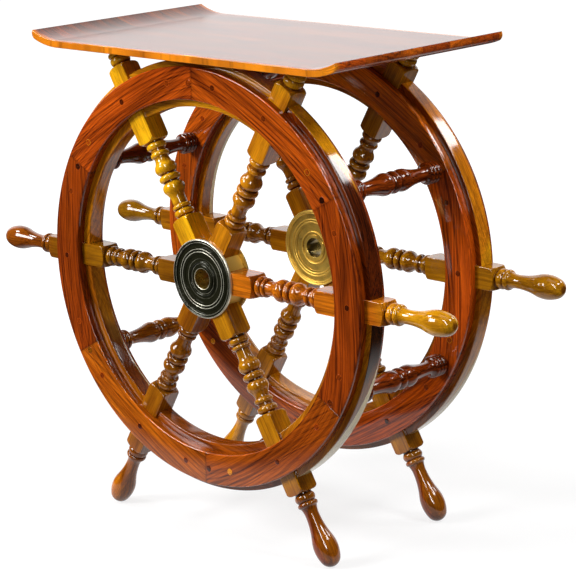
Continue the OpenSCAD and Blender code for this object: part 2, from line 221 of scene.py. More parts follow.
def bead(s, start, end, edge, crest):
    """Radius of a convex ring: the arc through its two edges and its crest."""
    half, rise = (end - start) / 2, crest - edge
    arc = (half * half + rise * rise) / (2 * rise)
    under = np.clip(arc * arc - (s - (start + end) / 2) ** 2, 0, None)
    return np.where((s >= start) & (s <= end), crest - arc + np.sqrt(under), 0.0)


def cove(s, low_at, edge_at, low, edge):
    """Radius of a hollow: the arc that is level at low_at and rises to the radius edge at edge_at."""
    span, rise = abs(edge_at - low_at), edge - low
    arc = (span * span + rise * rise) / (2 * rise)
    under = np.clip(arc * arc - (s - low_at) ** 2, 0, None)
    inside = (s >= min(low_at, edge_at)) & (s <= max(low_at, edge_at))
    return np.where(inside, low + arc - np.sqrt(under), 0.0)


def vase(s, neck_at, neck, belly_at, belly, rounding, foot_at):
    """Radius of a vase: a hollow arc that is level at the neck runs smoothly into a round arc of the radius
    rounding, which is level at the belly and ends at the foot."""
    over = belly - neck
    hollow = ((belly_at - neck_at) ** 2 / over - 2 * rounding + over) / 2
    meet = belly_at + (neck_at - belly_at) * rounding / (rounding + hollow)
    convex = belly - rounding + np.sqrt(np.clip(rounding ** 2 - (s - belly_at) ** 2, 0, None))
    concave = neck + hollow - np.sqrt(np.clip(hollow ** 2 - (s - neck_at) ** 2, 0, None))
    on_round = (s >= min(meet, foot_at)) & (s <= max(meet, foot_at))
    on_hollow = (s >= min(meet, neck_at)) & (s <= max(meet, neck_at))
    return np.where(on_round, convex, np.where(on_hollow, concave, 0.0))


def arc_radius(half_chord, rise):
    """Radius of the arc with the given half chord and rise."""
    return (half_chord ** 2 + rise ** 2) / (2 * rise)


def resample(curve, count, corner_weight, smooth):
    """Eases a dense polyline over the length smooth and picks count points on it, spaced by equal steps of
    length plus corner_weight times the angle turned, so that bends get more points."""
    steps = np.linalg.norm(np.diff(curve, axis=0), axis=1)
    along = np.concatenate([[0], np.cumsum(steps)])
    even = np.linspace(0, along[-1], int(along[-1] / (smooth / 6)) + 2)
    dense = np.stack([np.interp(even, along, curve[:, k]) for k in range(2)], 1)
    width = 7
    kernel = np.hanning(width + 2)[1:-1]
    kernel /= kernel.sum()
    eased = dense.copy()
    for k in range(2):
        eased[width:-width, k] = np.convolve(dense[:, k], kernel, "same")[width:-width]
    leg = np.diff(eased, axis=0)
    heading = np.unwrap(np.arctan2(leg[:, 1], leg[:, 0]))
    bend = np.abs(np.diff(heading, prepend=heading[0]))
    weight = np.linalg.norm(leg, axis=1) + corner_weight * bend
    progress = np.concatenate([[0], np.cumsum(weight)])
    picks = np.linspace(0, progress[-1], count)
    return np.stack([np.interp(picks, progress, eased[:, k]) for k in range(2)], 1)


def in_grooves(outline, widest):
    """How deep the stations of a turned outline lie in its grooves, where shade is painted: the outline
    eased over a few millimetres, less the outline, from 0 to 1. Returns even stations and the values at
    them."""
    step, reach, depth = 0.25 * MM, 28, 1.6 * MM
    even = np.arange(outline[:, 0].min(), outline[:, 0].max(), step)
    radius = np.interp(even, outline[:, 0], np.minimum(outline[:, 1], widest))
    kernel = np.hanning(2 * reach + 1)
    eased = np.convolve(np.pad(radius, reach, mode="edge"), kernel / kernel.sum(), "valid")
    return even, np.clip((eased - radius) / depth, 0, 1)


# Meshes

def tube_faces(rows, cols, wrap_rows):
    """Quads between consecutive closed rings of cols points each, as an array of vertex numbers."""
    last = rows if wrap_rows else rows - 1
    row, col = np.meshgrid(np.arange(last), np.arange(cols), indexing="ij")
    here, ahead = row * cols, (row + 1) % rows * cols
    beside = (col + 1) % cols
    return np.stack([here + col, here + beside, ahead + beside, ahead + col], -1).reshape(-1, 4)


def shell(rings, boards, poles=None):
    """A closed skin over rings (rows, cols, 3): open tubes are closed by a fan to the two poles, and without
    poles the rings wrap round like a torus. Returns points, board coordinates, quads and triangles."""
    rows, cols = rings.shape[:2]
    points, board = rings.reshape(-1, 3), boards.reshape(-1, 3)
    quads = tube_faces(rows, cols, poles is None)
    if poles is None:
        return (points, board) + outward(points, quads, np.zeros((0, 3), int))
    ends = np.array(poles, float)
    count = len(points)
    ring = np.arange(cols)
    beside = (ring + 1) % cols
    base = (rows - 1) * cols
    first = np.stack([np.full(cols, count), beside, ring], 1)
    final = np.stack([np.full(cols, count + 1), base + ring, base + beside], 1)
    end_board = np.stack([boards[0].mean(0), boards[-1].mean(0)])
    points, triangles = np.vstack([points, ends]), np.vstack([first, final])
    return (points, np.vstack([board, end_board])) + outward(points, quads, triangles)


def join(shells):
    """Several shells as one set of arrays."""
    count = np.cumsum([0] + [len(s[0]) for s in shells])
    return (
        np.vstack([s[0] for s in shells]),
        np.vstack([s[1] for s in shells]),
        np.vstack([s[2] + n for s, n in zip(shells, count)]),
        np.vstack([s[3] + n for s, n in zip(shells, count)]),
    )


def outward(points, quads, triangles):
    """The faces turned so that a closed skin has a positive volume by the divergence theorem."""
    tris = np.vstack([quads[:, [0, 1, 2]], quads[:, [0, 2, 3]], triangles])
    a, b, c = points[tris[:, 0]], points[tris[:, 1]], points[tris[:, 2]]
    volume = np.einsum("ij,ij->i", a, np.cross(b, c)).sum()
    if volume < 0:
        return quads[:, ::-1], triangles[:, ::-1]
    return quads, triangles


def make_piece(name, skin, material, slot, nodes, sawn, tone=1.0, gold=0.0, sap=0.0):
    """Puts a skin into an object with its board coordinates and tones, and stands it for its CAD nodes."""
    points, board, quads, triangles = skin
    quads, triangles = outward(points, quads, triangles)
    mesh = bpy.data.meshes.new(name)
    mesh.vertices.add(len(points))
    mesh.vertices.foreach_set("co", points.astype(np.float32).ravel())
    loops = np.concatenate([quads.ravel(), triangles.ravel()])
    sizes = np.concatenate([np.full(len(quads), 4), np.full(len(triangles), 3)])
    starts = np.concatenate([[0], np.cumsum(sizes)[:-1]])
    mesh.loops.add(len(loops))
    mesh.loops.foreach_set("vertex_index", loops.astype(np.int32))
    mesh.polygons.add(len(sizes))
    mesh.polygons.foreach_set("loop_start", starts.astype(np.int32))
    mesh.update(calc_edges=True)
    mesh.polygons.foreach_set("use_smooth", np.ones(len(sizes), bool))
    mesh.set_sharp_from_angle(angle=SHARP_ANGLE)
    mesh.validate()
    store(mesh, "board", "FLOAT_VECTOR", board)
    store(mesh, "plank", "FLOAT_VECTOR", np.broadcast_to(sawn, points.shape))
    for key, value in (("tone", tone), ("gold", gold), ("sap", sap)):
        store(mesh, key, "FLOAT", np.broadcast_to(value, len(points)))
    mesh.materials.append(material)
    piece = bpy.data.objects.new(name, mesh)
    bpy.context.scene.collection.objects.link(piece)
    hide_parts(*nodes)
    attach(piece, "root")


def store(mesh, name, kind, values):
    """Writes one value or vector a vertex into a named attribute."""
    layer = mesh.attributes.new(name, kind, "POINT")
    key = "vector" if kind == "FLOAT_VECTOR" else "value"
    layer.data.foreach_set(key, np.asarray(values, np.float32).ravel())


def in_table(skin, wheel):
    """A skin of a wheel's own frame, X right, Y up the wheel and Z out of its outside face, in the table's
    frame. The rear wheel mirrors the front one."""
    w = settings().wheel
    x, y, z = skin[0].T
    side = -1.0 if wheel == "front" else 1.0
    return (np.stack([x, side * (w.plane_y + z), w.hub_height + y], -1),) + skin[1:]


def turned(points, angle):
    """Points turned by the angle about the wheel's axis, from X towards Y."""
    c, s = math.cos(angle), math.sin(angle)
    x, y = points[..., 0], points[..., 1]
    return np.stack([c * x - s * y, s * x + c * y, points[..., 2]], -1)


def plank(*words):
    """Where in its plank a piece is sawn: an offset for its grain that the words always give again."""
    seed = sum((i + 1) * ord(c) for i, c in enumerate(" ".join(str(w) for w in words)))
    return np.random.default_rng(seed).uniform(-4, 4, 3)


def rounded_loop(corners, radii, steps, side_steps=1):
    """Closed section through right-angled corners. Each corner becomes an arc of its own radius that touches
    both sides, and each side gets side_steps equal steps."""
    turn = np.linspace(0, math.pi / 2, steps)[:, None]
    share = np.arange(1, side_steps)[:, None] / side_steps
    arcs = []
    for i, r in enumerate(radii):
        here, before, after = (np.array(corners[k % len(corners)], float) for k in (i, i - 1, i + 1))
        back = (before - here) / np.linalg.norm(before - here)
        ahead = (after - here) / np.linalg.norm(after - here)
        arcs.append(here + r * (back + ahead) - r * (np.cos(turn) * ahead + np.sin(turn) * back))
    loop = []
    for arc, following in zip(arcs, arcs[1:] + arcs[:1]):
        loop += [arc, arc[-1] + share * (following[0] - arc[-1])]
    return np.vstack(loop)


# Pieces of the wheels

def spoke_elements(s):
    """Radius of the turned parts of a spoke at the stations s: the largest of its beads, vases and necks.
    Beside each block come two beads and a vase, with a bead between the vases. The handle has two beads, a
    waist, a grip and a round tip."""
    k = settings().spoke
    edge, small, low = 10.4 * MM, k.groove, k.bead - 0.8 * MM
    a, b, c = k.inner_end, k.outer_start, k.outer_end
    fillet, wide = 1.5 * MM, 10.4 * MM
    inner_collar, inner_neck, outer_neck = a + 16.85 * MM, a + 24.85 * MM, b - 22.2 * MM
    foot, other = a + 46.75 * MM, b - 43.4 * MM
    middle, bead_half, belly = (foot + other) / 2, 4.3 * MM, 7.5 * MM
    rounding = arc_radius(belly, k.belly - small)
    collar, waist_edge = c + 11.8 * MM, c + 18.3 * MM
    centre = k.tip - k.tip_radius
    lead = centre - k.grip_at
    grip_arc = (lead ** 2 + k.grip ** 2 - k.tip_radius ** 2) / (2 * (k.grip - k.tip_radius))
    meet = k.grip_at + lead * grip_arc / (grip_arc - k.tip_radius)
    ball = np.sqrt(np.clip(k.tip_radius ** 2 - (s - centre) ** 2, 0, None))
    parts = [
        barrel(s, a, b, k.neck),
        barrel(s, a, inner_collar, small),
        bead(s, a + fillet, a + wide, small, k.bead),
        bead(s, a + 11.15 * MM, inner_collar, small, low),
        vase(s, inner_neck, k.neck, foot - belly, k.belly, rounding, foot),
        barrel(s, foot, other, small),
        bead(s, middle - bead_half, middle + bead_half, small, k.middle_bead),
        vase(s, outer_neck, k.neck, other + belly, k.belly, rounding, other),
        barrel(s, outer_neck, b, small),
        bead(s, b - 20.7 * MM, b - 14 * MM, small, low),
        bead(s, b - wide, b - fillet, small, k.bead),
        barrel(s, c, waist_edge, edge),
        bead(s, c + fillet, collar, edge, k.bead),
        bead(s, collar, waist_edge, edge, k.bead),
        cove(s, k.waist_at, waist_edge, k.waist, edge),
        vase(s, k.waist_at, k.waist, k.grip_at, k.grip, grip_arc, meet),
        np.where(s >= meet, ball, 0.0),
    ]
    return np.max(parts, axis=0)


def spoke_profile(upper=False):
    """Outline of a spoke in the lathe, as stations and radii. The blocks count as round bars a little wider
    than their diagonal, with shoulders rounded in the lathe. An upper spoke ends inside the tabletop
    instead of in a handle."""
    k, w = settings().spoke, settings().wheel
    end, count = (316.8 * MM, 360) if upper else (k.tip - 0.001 * MM, 420)
    edge = w.block / 2 * math.sqrt(2) + 0.4 * MM
    turn = np.linspace(0, math.pi / 2, 60)
    rise = np.stack([k.shoulder * (1 - np.cos(turn)), edge - k.shoulder * (1 - np.sin(turn))], 1)
    fall = rise[::-1] * (-1, 1)
    parts = [
        [(17 * MM, edge)],
        fall + (k.inner_end, 0),
        lathe_line(k.inner_end, k.outer_start),
        rise + (k.outer_start, 0),
        fall + (k.outer_end, 0),
        lathe_line(k.outer_end, end),
    ]
    return resample(np.vstack(parts), count, 10 * MM, 0.3 * MM)


def lathe_line(start, end):
    """Stations and radii of the turned parts between two stations, every twentieth of a millimetre."""
    s = np.linspace(start, end, int((end - start) / (0.05 * MM)))[1:-1]
    return np.stack([s, spoke_elements(s)], 1)


def spoke_skin(index):
    """Skin of a spoke in its wheel's frame. Round each station of a block the radius is a soft minimum of
    the lathe's and of a square with slightly rounded corners. The lines along the spoke crowd towards those
    corners. The inner end is mitred at 30 degrees and hollowed round the sleeve, and the two upper spokes
    are cut off by the plane of the tabletop's underside."""
    k, w = settings().spoke, settings().wheel
    upper = index in (1, 2)
    profile = spoke_profile(upper)
    s, r = profile[:, :1], np.clip(profile[:, 1:], 0.05 * MM, None)
    crowding, power, soft, margin = 0.7 / 4, 36, 70, 0.4 * MM
    even = np.linspace(0, 2 * math.pi, 72, endpoint=False)
    phi = even + crowding * np.sin(4 * even)
    half = w.block / 2
    square = (np.abs(np.cos(phi)) ** power + np.abs(np.sin(phi)) ** power) ** (-1 / power)
    planed = ((r / half) ** -soft + square ** -soft) ** (-1 / soft) * half
    blocks = (s < k.inner_end + margin) | ((s > k.outer_start - margin) & (s < k.outer_end + margin))
    radius = np.where(blocks, planed, r)
    across, deep = radius * np.cos(phi), radius * np.sin(phi)
    along = np.broadcast_to(s, across.shape).copy()
    limit = along * math.tan(STEP / 2)
    limit[0] = HOLLOW * math.sin(STEP / 2)
    across = np.clip(across, -limit, limit)
    along[0] = np.sqrt(HOLLOW ** 2 - across[0] ** 2)
    tip = k.tip
    if upper:
        angle = index * STEP
        plane = settings().top.underside - w.hub_height - 0.02 * MM
        along = np.minimum(along, (plane - across * math.cos(angle)) / math.sin(angle))
        tip = plane / math.sin(angle)
    rings = np.stack([along, across, deep], -1)
    points, board, quads, triangles = shell(rings, rings, [(HOLLOW, 0, 0), (tip, 0, 0)])
    return turned(points, index * STEP), board, quads, triangles


def block_edges(board):
    """Which points of a spoke lie on the long edges of its blocks, where both sides meet and a highlight is
    painted.
    """
    across, deep = np.abs(board[:, 1]), np.abs(board[:, 2])
    return (np.abs(across - deep) < 0.3 * MM) & (np.hypot(across, deep) > 0.65 * settings().wheel.block)


def sector(section, middle, offsets):
    """Carries a section of radii and heights round the wheel's axis. Each row of offsets gives the angle
    from the middle of the piece at each point of the section."""
    r, height = section[:, 0], np.broadcast_to(section[:, 1], offsets.shape)
    across, deep = r * np.sin(offsets), r * np.cos(offsets)
    rings = np.stack([deep, across, height], -1)
    boards = np.stack([across, deep - BOARD_RADIUS, height], -1)
    ends = [rings[0].mean(0), rings[-1].mean(0)]
    points, board, quads, triangles = shell(rings, boards, ends)
    return turned(points, middle), board, quads, triangles


def felloe_skin(index, ring):
    """Skin of a felloe: a rectangle with its two outside edges rounded, carried through 60 degrees. Lines of
    the mesh follow both sides of the spoke's block, and the back is let in round it. The last ring at each
    joint is drawn in a little, so that the joint shows as a fine line."""
    w = settings().wheel
    half, sharp, line = w.block / 2, 0.15 * MM, 0.12 * MM
    face, back = w.thick / 2, w.thick / 2 - w.felloe_t
    section = rounded_loop(
        [(w.rim_inner, back), (w.rim_outer, back), (w.rim_outer, face), (w.rim_inner, face)],
        (sharp, sharp, w.felloe_arris, w.felloe_arris), 6,
    )
    radius = section[:, 0]
    steps = 40
    side = np.array([0, 0.5, 1, 1] + [1] * steps) * half
    share = np.concatenate([[0, 0, 0, 0], np.linspace(0, 1, steps + 1)[1:]])
    under = np.array([1, 1, 1, 0] + [0] * steps)
    edge = np.arcsin(half / radius)
    right = np.arcsin(side[:, None] / radius) + share[:, None] * (STEP / 2 - edge)
    near_end = right[-1] - line / radius
    right = np.vstack([right[:-1], near_end, right[-1]])
    under = np.concatenate([under, [0]])
    offsets = np.vstack([-right[:0:-1], right])
    notch = np.concatenate([under[:0:-1], under])[:, None]
    behind = section[:, 1] < back + 1.5 * sharp
    lift = notch * behind * (half - back)
    skins = np.broadcast_to(section, offsets.shape + (2,)).copy()
    middle = np.array([(w.rim_inner + w.rim_outer) / 2, (face + back) / 2])
    for row in (0, -1):
        skins[row] -= line * np.sign(skins[row] - middle)
    r, z = skins[..., 0], skins[..., 1] + lift
    rings = np.stack([r * np.cos(offsets), r * np.sin(offsets), z], -1)
    boards = rings[..., [1, 0, 2]] - (0, BOARD_RADIUS, 0)
    skin = shell(rings, boards, [rings[0].mean(0), rings[-1].mean(0)])
    points = turned(skin[0], index * STEP)
    if ring == "inner":
        points = points * (1, 1, -1)
    return (points,) + skin[1:]


# Share of a felloe's tone at its glued joints, and on its rounded edges as a painted highlight
JOINT_TONE, ARRIS_HIGHLIGHT_TONE = 0.65, 1.5


def felloe_wear(board):
    """Share of its tone that a felloe has at each point: more in the middle of its rounded edges, as a
    painted highlight, and less at the glue lines."""
    w = settings().wheel
    across, deep = board[:, 0], board[:, 1] + BOARD_RADIUS
    radius = np.hypot(across, deep)
    inside = np.minimum(w.rim_outer - radius, radius - w.rim_inner)
    below = w.thick / 2 - board[:, 2]
    near, far = np.minimum(inside, below), np.maximum(inside, below)
    arris = (near > 0.05 * w.felloe_arris) & (far < 0.75 * w.felloe_arris)
    joint = np.abs(np.arctan2(across, deep)) > STEP / 2 - 0.2 * MM / radius
    return np.where(joint, JOINT_TONE, np.where(arris, ARRIS_HIGHLIGHT_TONE, 1.0))


def between_blocks(section, index, steps):
    """Carries a section from the side of one spoke's block to the side of the next one's."""
    w = settings().wheel
    reach = STEP / 2 - np.arcsin(w.block / 2 / section[:, 0])
    return sector(section, (index + 0.5) * STEP, np.linspace(-1, 1, steps)[:, None] * reach)


def filler_skin(index):
    """Skin of a filler: a rectangle with rounded edges, carried from block to block."""
    w = settings().wheel
    half = w.thick / 2 - w.felloe_t
    section = rounded_loop(
        [(w.filler_inner, -half), (w.filler_outer, -half), (w.filler_outer, half), (w.filler_inner, half)],
        (w.filler_arris,) * 4, 6, 8,
    )
    return between_blocks(section, index, 97)


def stretcher_line():
    """Outline of a rail in the lathe, from the middle of one end's dome to the other's."""
    k, w = settings().stretcher, settings().wheel
    end = w.plane_y - w.thick / 2
    foot, neck = k.bead_half + 0.5 * MM, end - k.neck_from_wheel
    rounding = arc_radius(k.belly_at - foot, k.belly - k.groove)
    y = np.linspace(0, end, int(end / (0.05 * MM)))[:-1]
    width = k.end_beads / 3
    parts = [
        barrel(y, 0, end, k.neck),
        barrel(y, 0, foot, k.groove),
        bead(y, -k.bead_half, k.bead_half, k.groove, k.middle_bead),
        vase(y, neck, k.neck, k.belly_at, k.belly, rounding, foot),
        cove(y, neck, end - k.end_beads, k.neck, k.end_edge),
    ] + [bead(y, end - (i + 1) * width, end - i * width, k.end_edge, k.end_bead) for i in range(3)]
    turned_part = np.stack([y, np.max(parts, axis=0)], 1)
    tenon = np.array([(end, k.end_edge), (end, w.pin)]) - (0.01 * MM, 0)
    half = np.vstack([turned_part, tenon, pin_end(end + w.thick)])
    return resample(np.vstack([half[::-1] * (-1, 1), half[1:]]), 420, 8 * MM, 0.25 * MM)


def pin_end(face):
    """The end of a pin or tenon: a low dome that stands a little proud of the face, inside an eased edge."""
    w = settings().wheel
    dome = np.linspace(1, 0.02, 8) * (w.pin - 0.3 * MM)
    crown = face + w.pin_proud * (1 - 0.5 * (dome / w.pin) ** 2)
    eased = [(face, w.pin), (face + 0.35 * w.pin_proud, w.pin - 0.04 * MM)]
    return np.vstack([eased, np.stack([crown, dome], 1)])


def lathed(profile, cols):
    """Rings round the axis, X along it, for a profile of stations and radii, with the poles of both ends."""
    phi = np.linspace(0, 2 * math.pi, cols, endpoint=False)
    along = np.broadcast_to(profile[:, :1], (len(profile), cols))
    rings = np.stack([along, profile[:, 1:] * np.cos(phi), profile[:, 1:] * np.sin(phi)], -1)
    return rings, [(profile[0, 0], 0, 0), (profile[-1, 0], 0, 0)]


def stretcher_skin(index):
    """Skin of a rail in the table's frame: its outline turned round an axis that runs from front to back."""
    w, k = settings().wheel, settings().stretcher
    rings, poles = lathed(stretcher_line(), 64)
    points, board, quads, triangles = shell(rings, rings, poles)
    angle = (index + 0.5) * STEP + k.turn
    centre = (w.pin_circle * math.cos(angle), 0, w.hub_height + w.pin_circle * math.sin(angle))
    return points[:, [1, 0, 2]] + centre, board, quads, triangles


# Angles of the pins past each spoke's middle, in degrees: one at the spoke and two beside the joint
PIN_PLACES = (0.8, 21.6, 40.0)


def pin_skins():
    """Skins of the eighteen pins of a wheel: one at each spoke and two beside each rim joint."""
    w = settings().wheel
    half = np.vstack([[(0, w.pin)], pin_end(w.thick / 2)])
    profile = np.vstack([half[::-1] * (-1, 1), half[1:]])
    rings, poles = lathed(profile, 24)
    points, *rest = shell(rings, rings, poles)
    first = points[:, [1, 2, 0]] + (w.pin_circle, 0, 0)
    return [(turned(first, i * STEP + math.radians(past)), *rest) for i in range(6) for past in PIN_PLACES]


# Sunk bands of a face plate and middles of its small raised rings, in millimetres out from the bore, or in
# from the rim where negative
PLATE_BANDS = ((1.3, 6.8), (9.3, 17.3), (-9.3, -5.8))
PLATE_RINGS = (8, -15.8, -12.3, -4.3)


def plate_line(hole):
    """Outside of a face plate from its hole to its rim, as radii and heights: a flat with sunk bands, raised
    half-round rings and a bead round the rim."""
    k, w = settings().hub, settings().wheel
    base = w.block / 2 + k.plate_t
    r = np.linspace(hole, k.plate, 1400)
    height = np.full(r.shape, base)

    def at(distance):
        """Radius at a distance out from the bore, or in from the rim where negative."""
        return (k.bore if distance > 0 else k.plate) + distance * MM

    for start, end in PLATE_BANDS:
        height = np.where((r > at(start)) & (r < at(end)), base - k.recess, height)
    for middle, size in [(at(ring), k.bead) for ring in PLATE_RINGS] + [(k.plate - k.rim_bead, k.rim_bead)]:
        under = size ** 2 - (r - middle) ** 2
        height = np.where(under >= 0, np.maximum(height, base + np.sqrt(np.clip(under, 0, None))), height)
    return np.stack([r, height], 1)


def lathe_round(section, cols=160):
    """A closed section of radii and heights turned round the wheel's axis."""
    theta = np.linspace(0, 2 * math.pi, cols, endpoint=False)[:, None]
    r, z = section[:, 0], section[:, 1]
    rings = np.stack([r * np.cos(theta), r * np.sin(theta), np.broadcast_to(z, (cols, len(z)))], -1)
    return shell(rings, rings)


def hub_skin():
    """Skin of a hub: its outside face plate, the sleeve round the bore, and six lugs between the blocks."""
    k, w = settings().hub, settings().wheel
    half, ease, bevel = w.block / 2, 0.5 * MM, 0.15 * MM
    end = half + k.plate_t + k.lip
    lip = [(k.bore, end - ease), (k.bore + bevel, end - bevel), (k.bore + ease, end),
           (k.sleeve - ease, end), (k.sleeve - bevel, end - bevel), (k.sleeve, end - ease)]
    outline = np.vstack([lip, plate_line(k.sleeve), [(k.plate, half)]])
    outline = resample(outline, 300, 1.5 * MM, 0.12 * MM)
    back = [(k.sleeve, half - 0.01 * MM), (k.sleeve, -end + ease), (k.sleeve - ease, -end),
            (k.bore + ease, -end), (k.bore, -end + ease)]
    lug = rounded_loop([(LUG_ROOT, -half), (k.drum, -half), (k.drum, half), (LUG_ROOT, half)],
                       (0.02 * MM,) * 4, 2)
    return join([lathe_round(np.vstack([outline, back]))] + [bare_lug(lug, i) for i in range(6)])


def bare_lug(section, index):
    """A lug, with its place in the wheel's frame instead of board coordinates."""
    points, _, quads, triangles = between_blocks(section, index, 25)
    return points, points, quads, triangles


# Distance from the rim, in millimetres, and wear of each ring on the outside of a dark plate
RING_WEAR = ((0.0, 1.0), (1.0, 0.9), (4.3, 0.6), (12.3, 0.85), (15.8, 1.0), (24.5, 0.5), (30.6, 0.6))
# Wear of the line round the bore, of the bore's outer and inner half, and of the plate's hidden side
LINE_WEAR, BORE_WEAR, HIDDEN_WEAR = 0.9, (0.55, 0.5), 0.8
# How metallic the lugs and the bore are, where the plate is 1
LUG_METAL, BORE_METAL = 0.5, 1.3


def brass_wear(board, dark):
    """How metallic, how pale and how worn bright the brass is at each point. On a dark plate the tops of the
    rings and a line round the bore are worn, and pale as a painted reflection, the lugs are bright, and the
    bore is half worn."""
    k, w = settings().hub, settings().wheel
    radius, height = np.hypot(board[:, 0], board[:, 1]), np.abs(board[:, 2])
    face = w.block / 2 + k.plate_t
    lug = height < face - 1.2 * MM
    metal = np.where(lug & (radius > LUG_ROOT - 0.02 * MM), LUG_METAL, 1.0)
    if not dark:
        return metal, 0 * metal, np.clip((height - face - 0.3 * MM) / (0.3 * MM), 0, 1)
    worn = 0 * metal
    for inset, wear in RING_WEAR:
        near = np.clip(1.6 - np.abs(radius - k.plate + inset * MM) / (0.4 * MM), 0, 1)
        worn = np.maximum(worn, wear * near)
    worn = np.where(np.abs(radius - k.bore - 0.4 * MM) < 0.35 * MM, LINE_WEAR, worn)
    outside, bore = board[:, 2] > 0, radius < k.bore + 0.04 * MM
    pale = outside & ~lug & ~bore & (worn > 0)
    worn = np.where(lug, 1.0, np.where(outside, worn, HIDDEN_WEAR))
    return np.where(bore, BORE_METAL, metal), pale, np.where(bore, np.where(outside, *BORE_WEAR), worn)


def cover_skin():
    """Skin of the cover plate on the inside face, round the end of the sleeve."""
    k, w = settings().hub, settings().wheel
    hole = k.sleeve + 0.05 * MM
    outline = np.vstack([[(hole, w.block / 2)], plate_line(hole), [(k.plate, w.block / 2)]])
    points, board, quads, triangles = lathe_round(resample(outline, 300, 1.5 * MM, 0.12 * MM))
    return points * (1, 1, -1), board * (1, 1, -1), quads, triangles


def top_outline():
    """Closed outline of the tabletop in X and Z: a flat underside and upper surface, two concentric arcs
    under and on each sweep, and a nose arc that joins them at the end."""
    k = settings().top
    under = k.sweep_radius + k.thick
    flat = k.half_length - k.sweep_length
    nose_at = under - k.nose
    turn = math.asin((k.sweep_length - k.nose) / nose_at)
    centre = np.array([flat, k.underside + under])
    nose = centre + nose_at * np.array([math.sin(turn), -math.cos(turn)])
    lip = math.acos((k.sweep_radius ** 2 + nose_at ** 2 - k.nose ** 2) / (2 * k.sweep_radius * nose_at))
    bend = math.pi - math.acos((nose_at ** 2 + k.nose ** 2 - k.sweep_radius ** 2) / (2 * nose_at * k.nose))

    def arc(middle, radius, start, stop, count):
        """Points on an arc round its middle, at even angles counted from straight down."""
        angle = np.linspace(start, stop, count)
        return middle + radius * np.stack([np.sin(angle), -np.cos(angle)], 1)

    right = np.vstack([
        np.stack([np.linspace(0, flat, 12), np.full(12, k.underside)], 1)[:-1],
        arc(centre, under, 0, turn, 28),
        arc(nose, k.nose, turn, turn + bend, 24)[1:],
        arc(centre, k.sweep_radius, turn + lip, 0, 30)[1:],
        np.stack([np.linspace(flat, 0, 12), np.full(12, k.underside + k.thick)], 1)[1:],
    ])
    return np.vstack([right, (right * (-1, 1))[::-1][1:-1]])


def top_skin():
    """Skin of the tabletop: its outline carried from front to back, drawn in along the quarter round of the
    eased long edges, with flat ends."""
    k = settings().top
    loop = top_outline()

    def unit(rows):
        """Rows of one length each."""
        return rows / np.linalg.norm(rows, axis=1)[:, None]

    tangent = unit(unit(np.roll(loop, -1, 0) - loop) + unit(loop - np.roll(loop, 1, 0)))
    inward = np.stack([-tangent[:, 1], tangent[:, 0]], 1)
    turn = np.linspace(0, math.pi / 2, 7)
    drawn = k.arris * (1 - np.sin(turn))
    edge = k.half_width - k.arris * (1 - np.cos(turn))
    inner = np.linspace(-1, 1, 40)[1:-1] * (k.half_width - k.arris)
    y = np.concatenate([-edge, inner, edge[::-1]])
    inset = np.concatenate([drawn, 0 * inner, drawn[::-1]])
    plan = loop[None] + inset[:, None, None] * inward
    rings = np.stack([plan[..., 0], np.broadcast_to(y[:, None], plan.shape[:2]), plan[..., 1]], -1)
    rows, cols = rings.shape[:2]
    cap = np.array(tessellate_polygon([[Vector(p) for p in rings[0]]]))
    triangles = np.vstack([cap, cap[:, ::-1] + (rows - 1) * cols])
    points = rings.reshape(-1, 3)
    return points, unbent(points), tube_faces(rows, cols, False), triangles


def unbent(points):
    """Places of the tabletop's points in its flat boards, before the ends were bent: on a sweep, the length
    of the arc to the point and its height above the outer arc."""
    k = settings().top
    under, flat = k.sweep_radius + k.thick, k.half_length - k.sweep_length
    beyond, drop = np.abs(points[:, 0]) - flat, k.underside + under - points[:, 2]
    along = np.sign(points[:, 0]) * (flat + under * np.arctan2(beyond, drop))
    height = k.underside + under - np.hypot(beyond, drop)
    bent = np.stack([along, points[:, 1], height], 1)
    return np.where((beyond > 0)[:, None], bent, points)


# Materials

def feed(tree, socket, value):
    """Links a socket to an input, or sets the input to a plain value."""
    if isinstance(value, bpy.types.NodeSocket):
        tree.links.new(value, socket)
    elif value is not None:
        socket.default_value = value


def node(tree, kind, sockets, **options):
    """Adds a shader node, sets its options and feeds its inputs, which are given by name or number."""
    made = tree.nodes.new("ShaderNode" + kind)
    for key, value in options.items():
        setattr(made, key, value)
    for key, value in sockets.items():
        feed(tree, made.inputs[key], value)
    return made


def maths(tree, operation, a, b=None, c=None):
    """One step of arithmetic on values."""
    return node(tree, "Math", {0: a, 1: b, 2: c}, operation=operation).outputs[0]


def vectors(tree, operation, a, b=None, c=None):
    """One step of arithmetic on vectors."""
    made = node(tree, "VectorMath", {0: a, 1: b, 2: c}, operation=operation)
    return made.outputs["Value" if operation in ("LENGTH", "DOT_PRODUCT") else "Vector"]


def noise(tree, place, stretch, detail, roughness):
    """Fractal noise from 0 to 1 at a place in space times a factor for each axis."""
    place = vectors(tree, "MULTIPLY", place, stretch)
    sockets = {"Vector": place, "Scale": 1.0, "Detail": detail, "Roughness": roughness}
    return node(tree, "TexNoise", sockets, noise_dimensions="3D").outputs[0]


def noise_line(tree, value, detail, roughness):
    """Fractal noise from 0 to 1 along a line."""
    sockets = {"W": value, "Scale": 1.0, "Detail": detail, "Roughness": roughness}
    return node(tree, "TexNoise", sockets, noise_dimensions="1D").outputs[0]


def spread(tree, value, start, end, low=0.0, high=1.0, smooth=True):
    """Maps the values from start to end onto low to high, held at both ends."""
    sockets = {"Value": value, 1: start, 2: end, 3: low, 4: high}
    kind = "SMOOTHSTEP" if smooth else "LINEAR"
    return node(tree, "MapRange", sockets, interpolation_type=kind, clamp=True).outputs[0]


def blend(tree, share, a, b, how="MIX"):
    """Mixes two colours."""
    return node(tree, "Mix", {0: share, 6: a, 7: b}, data_type="RGBA", blend_type=how).outputs[2]


def shade(tree, colour, level):
    """A colour made darker or lighter by a factor."""
    grey = node(tree, "CombineColor", {0: level, 1: level, 2: level}).outputs[0]
    return blend(tree, 1.0, colour, grey, "MULTIPLY")


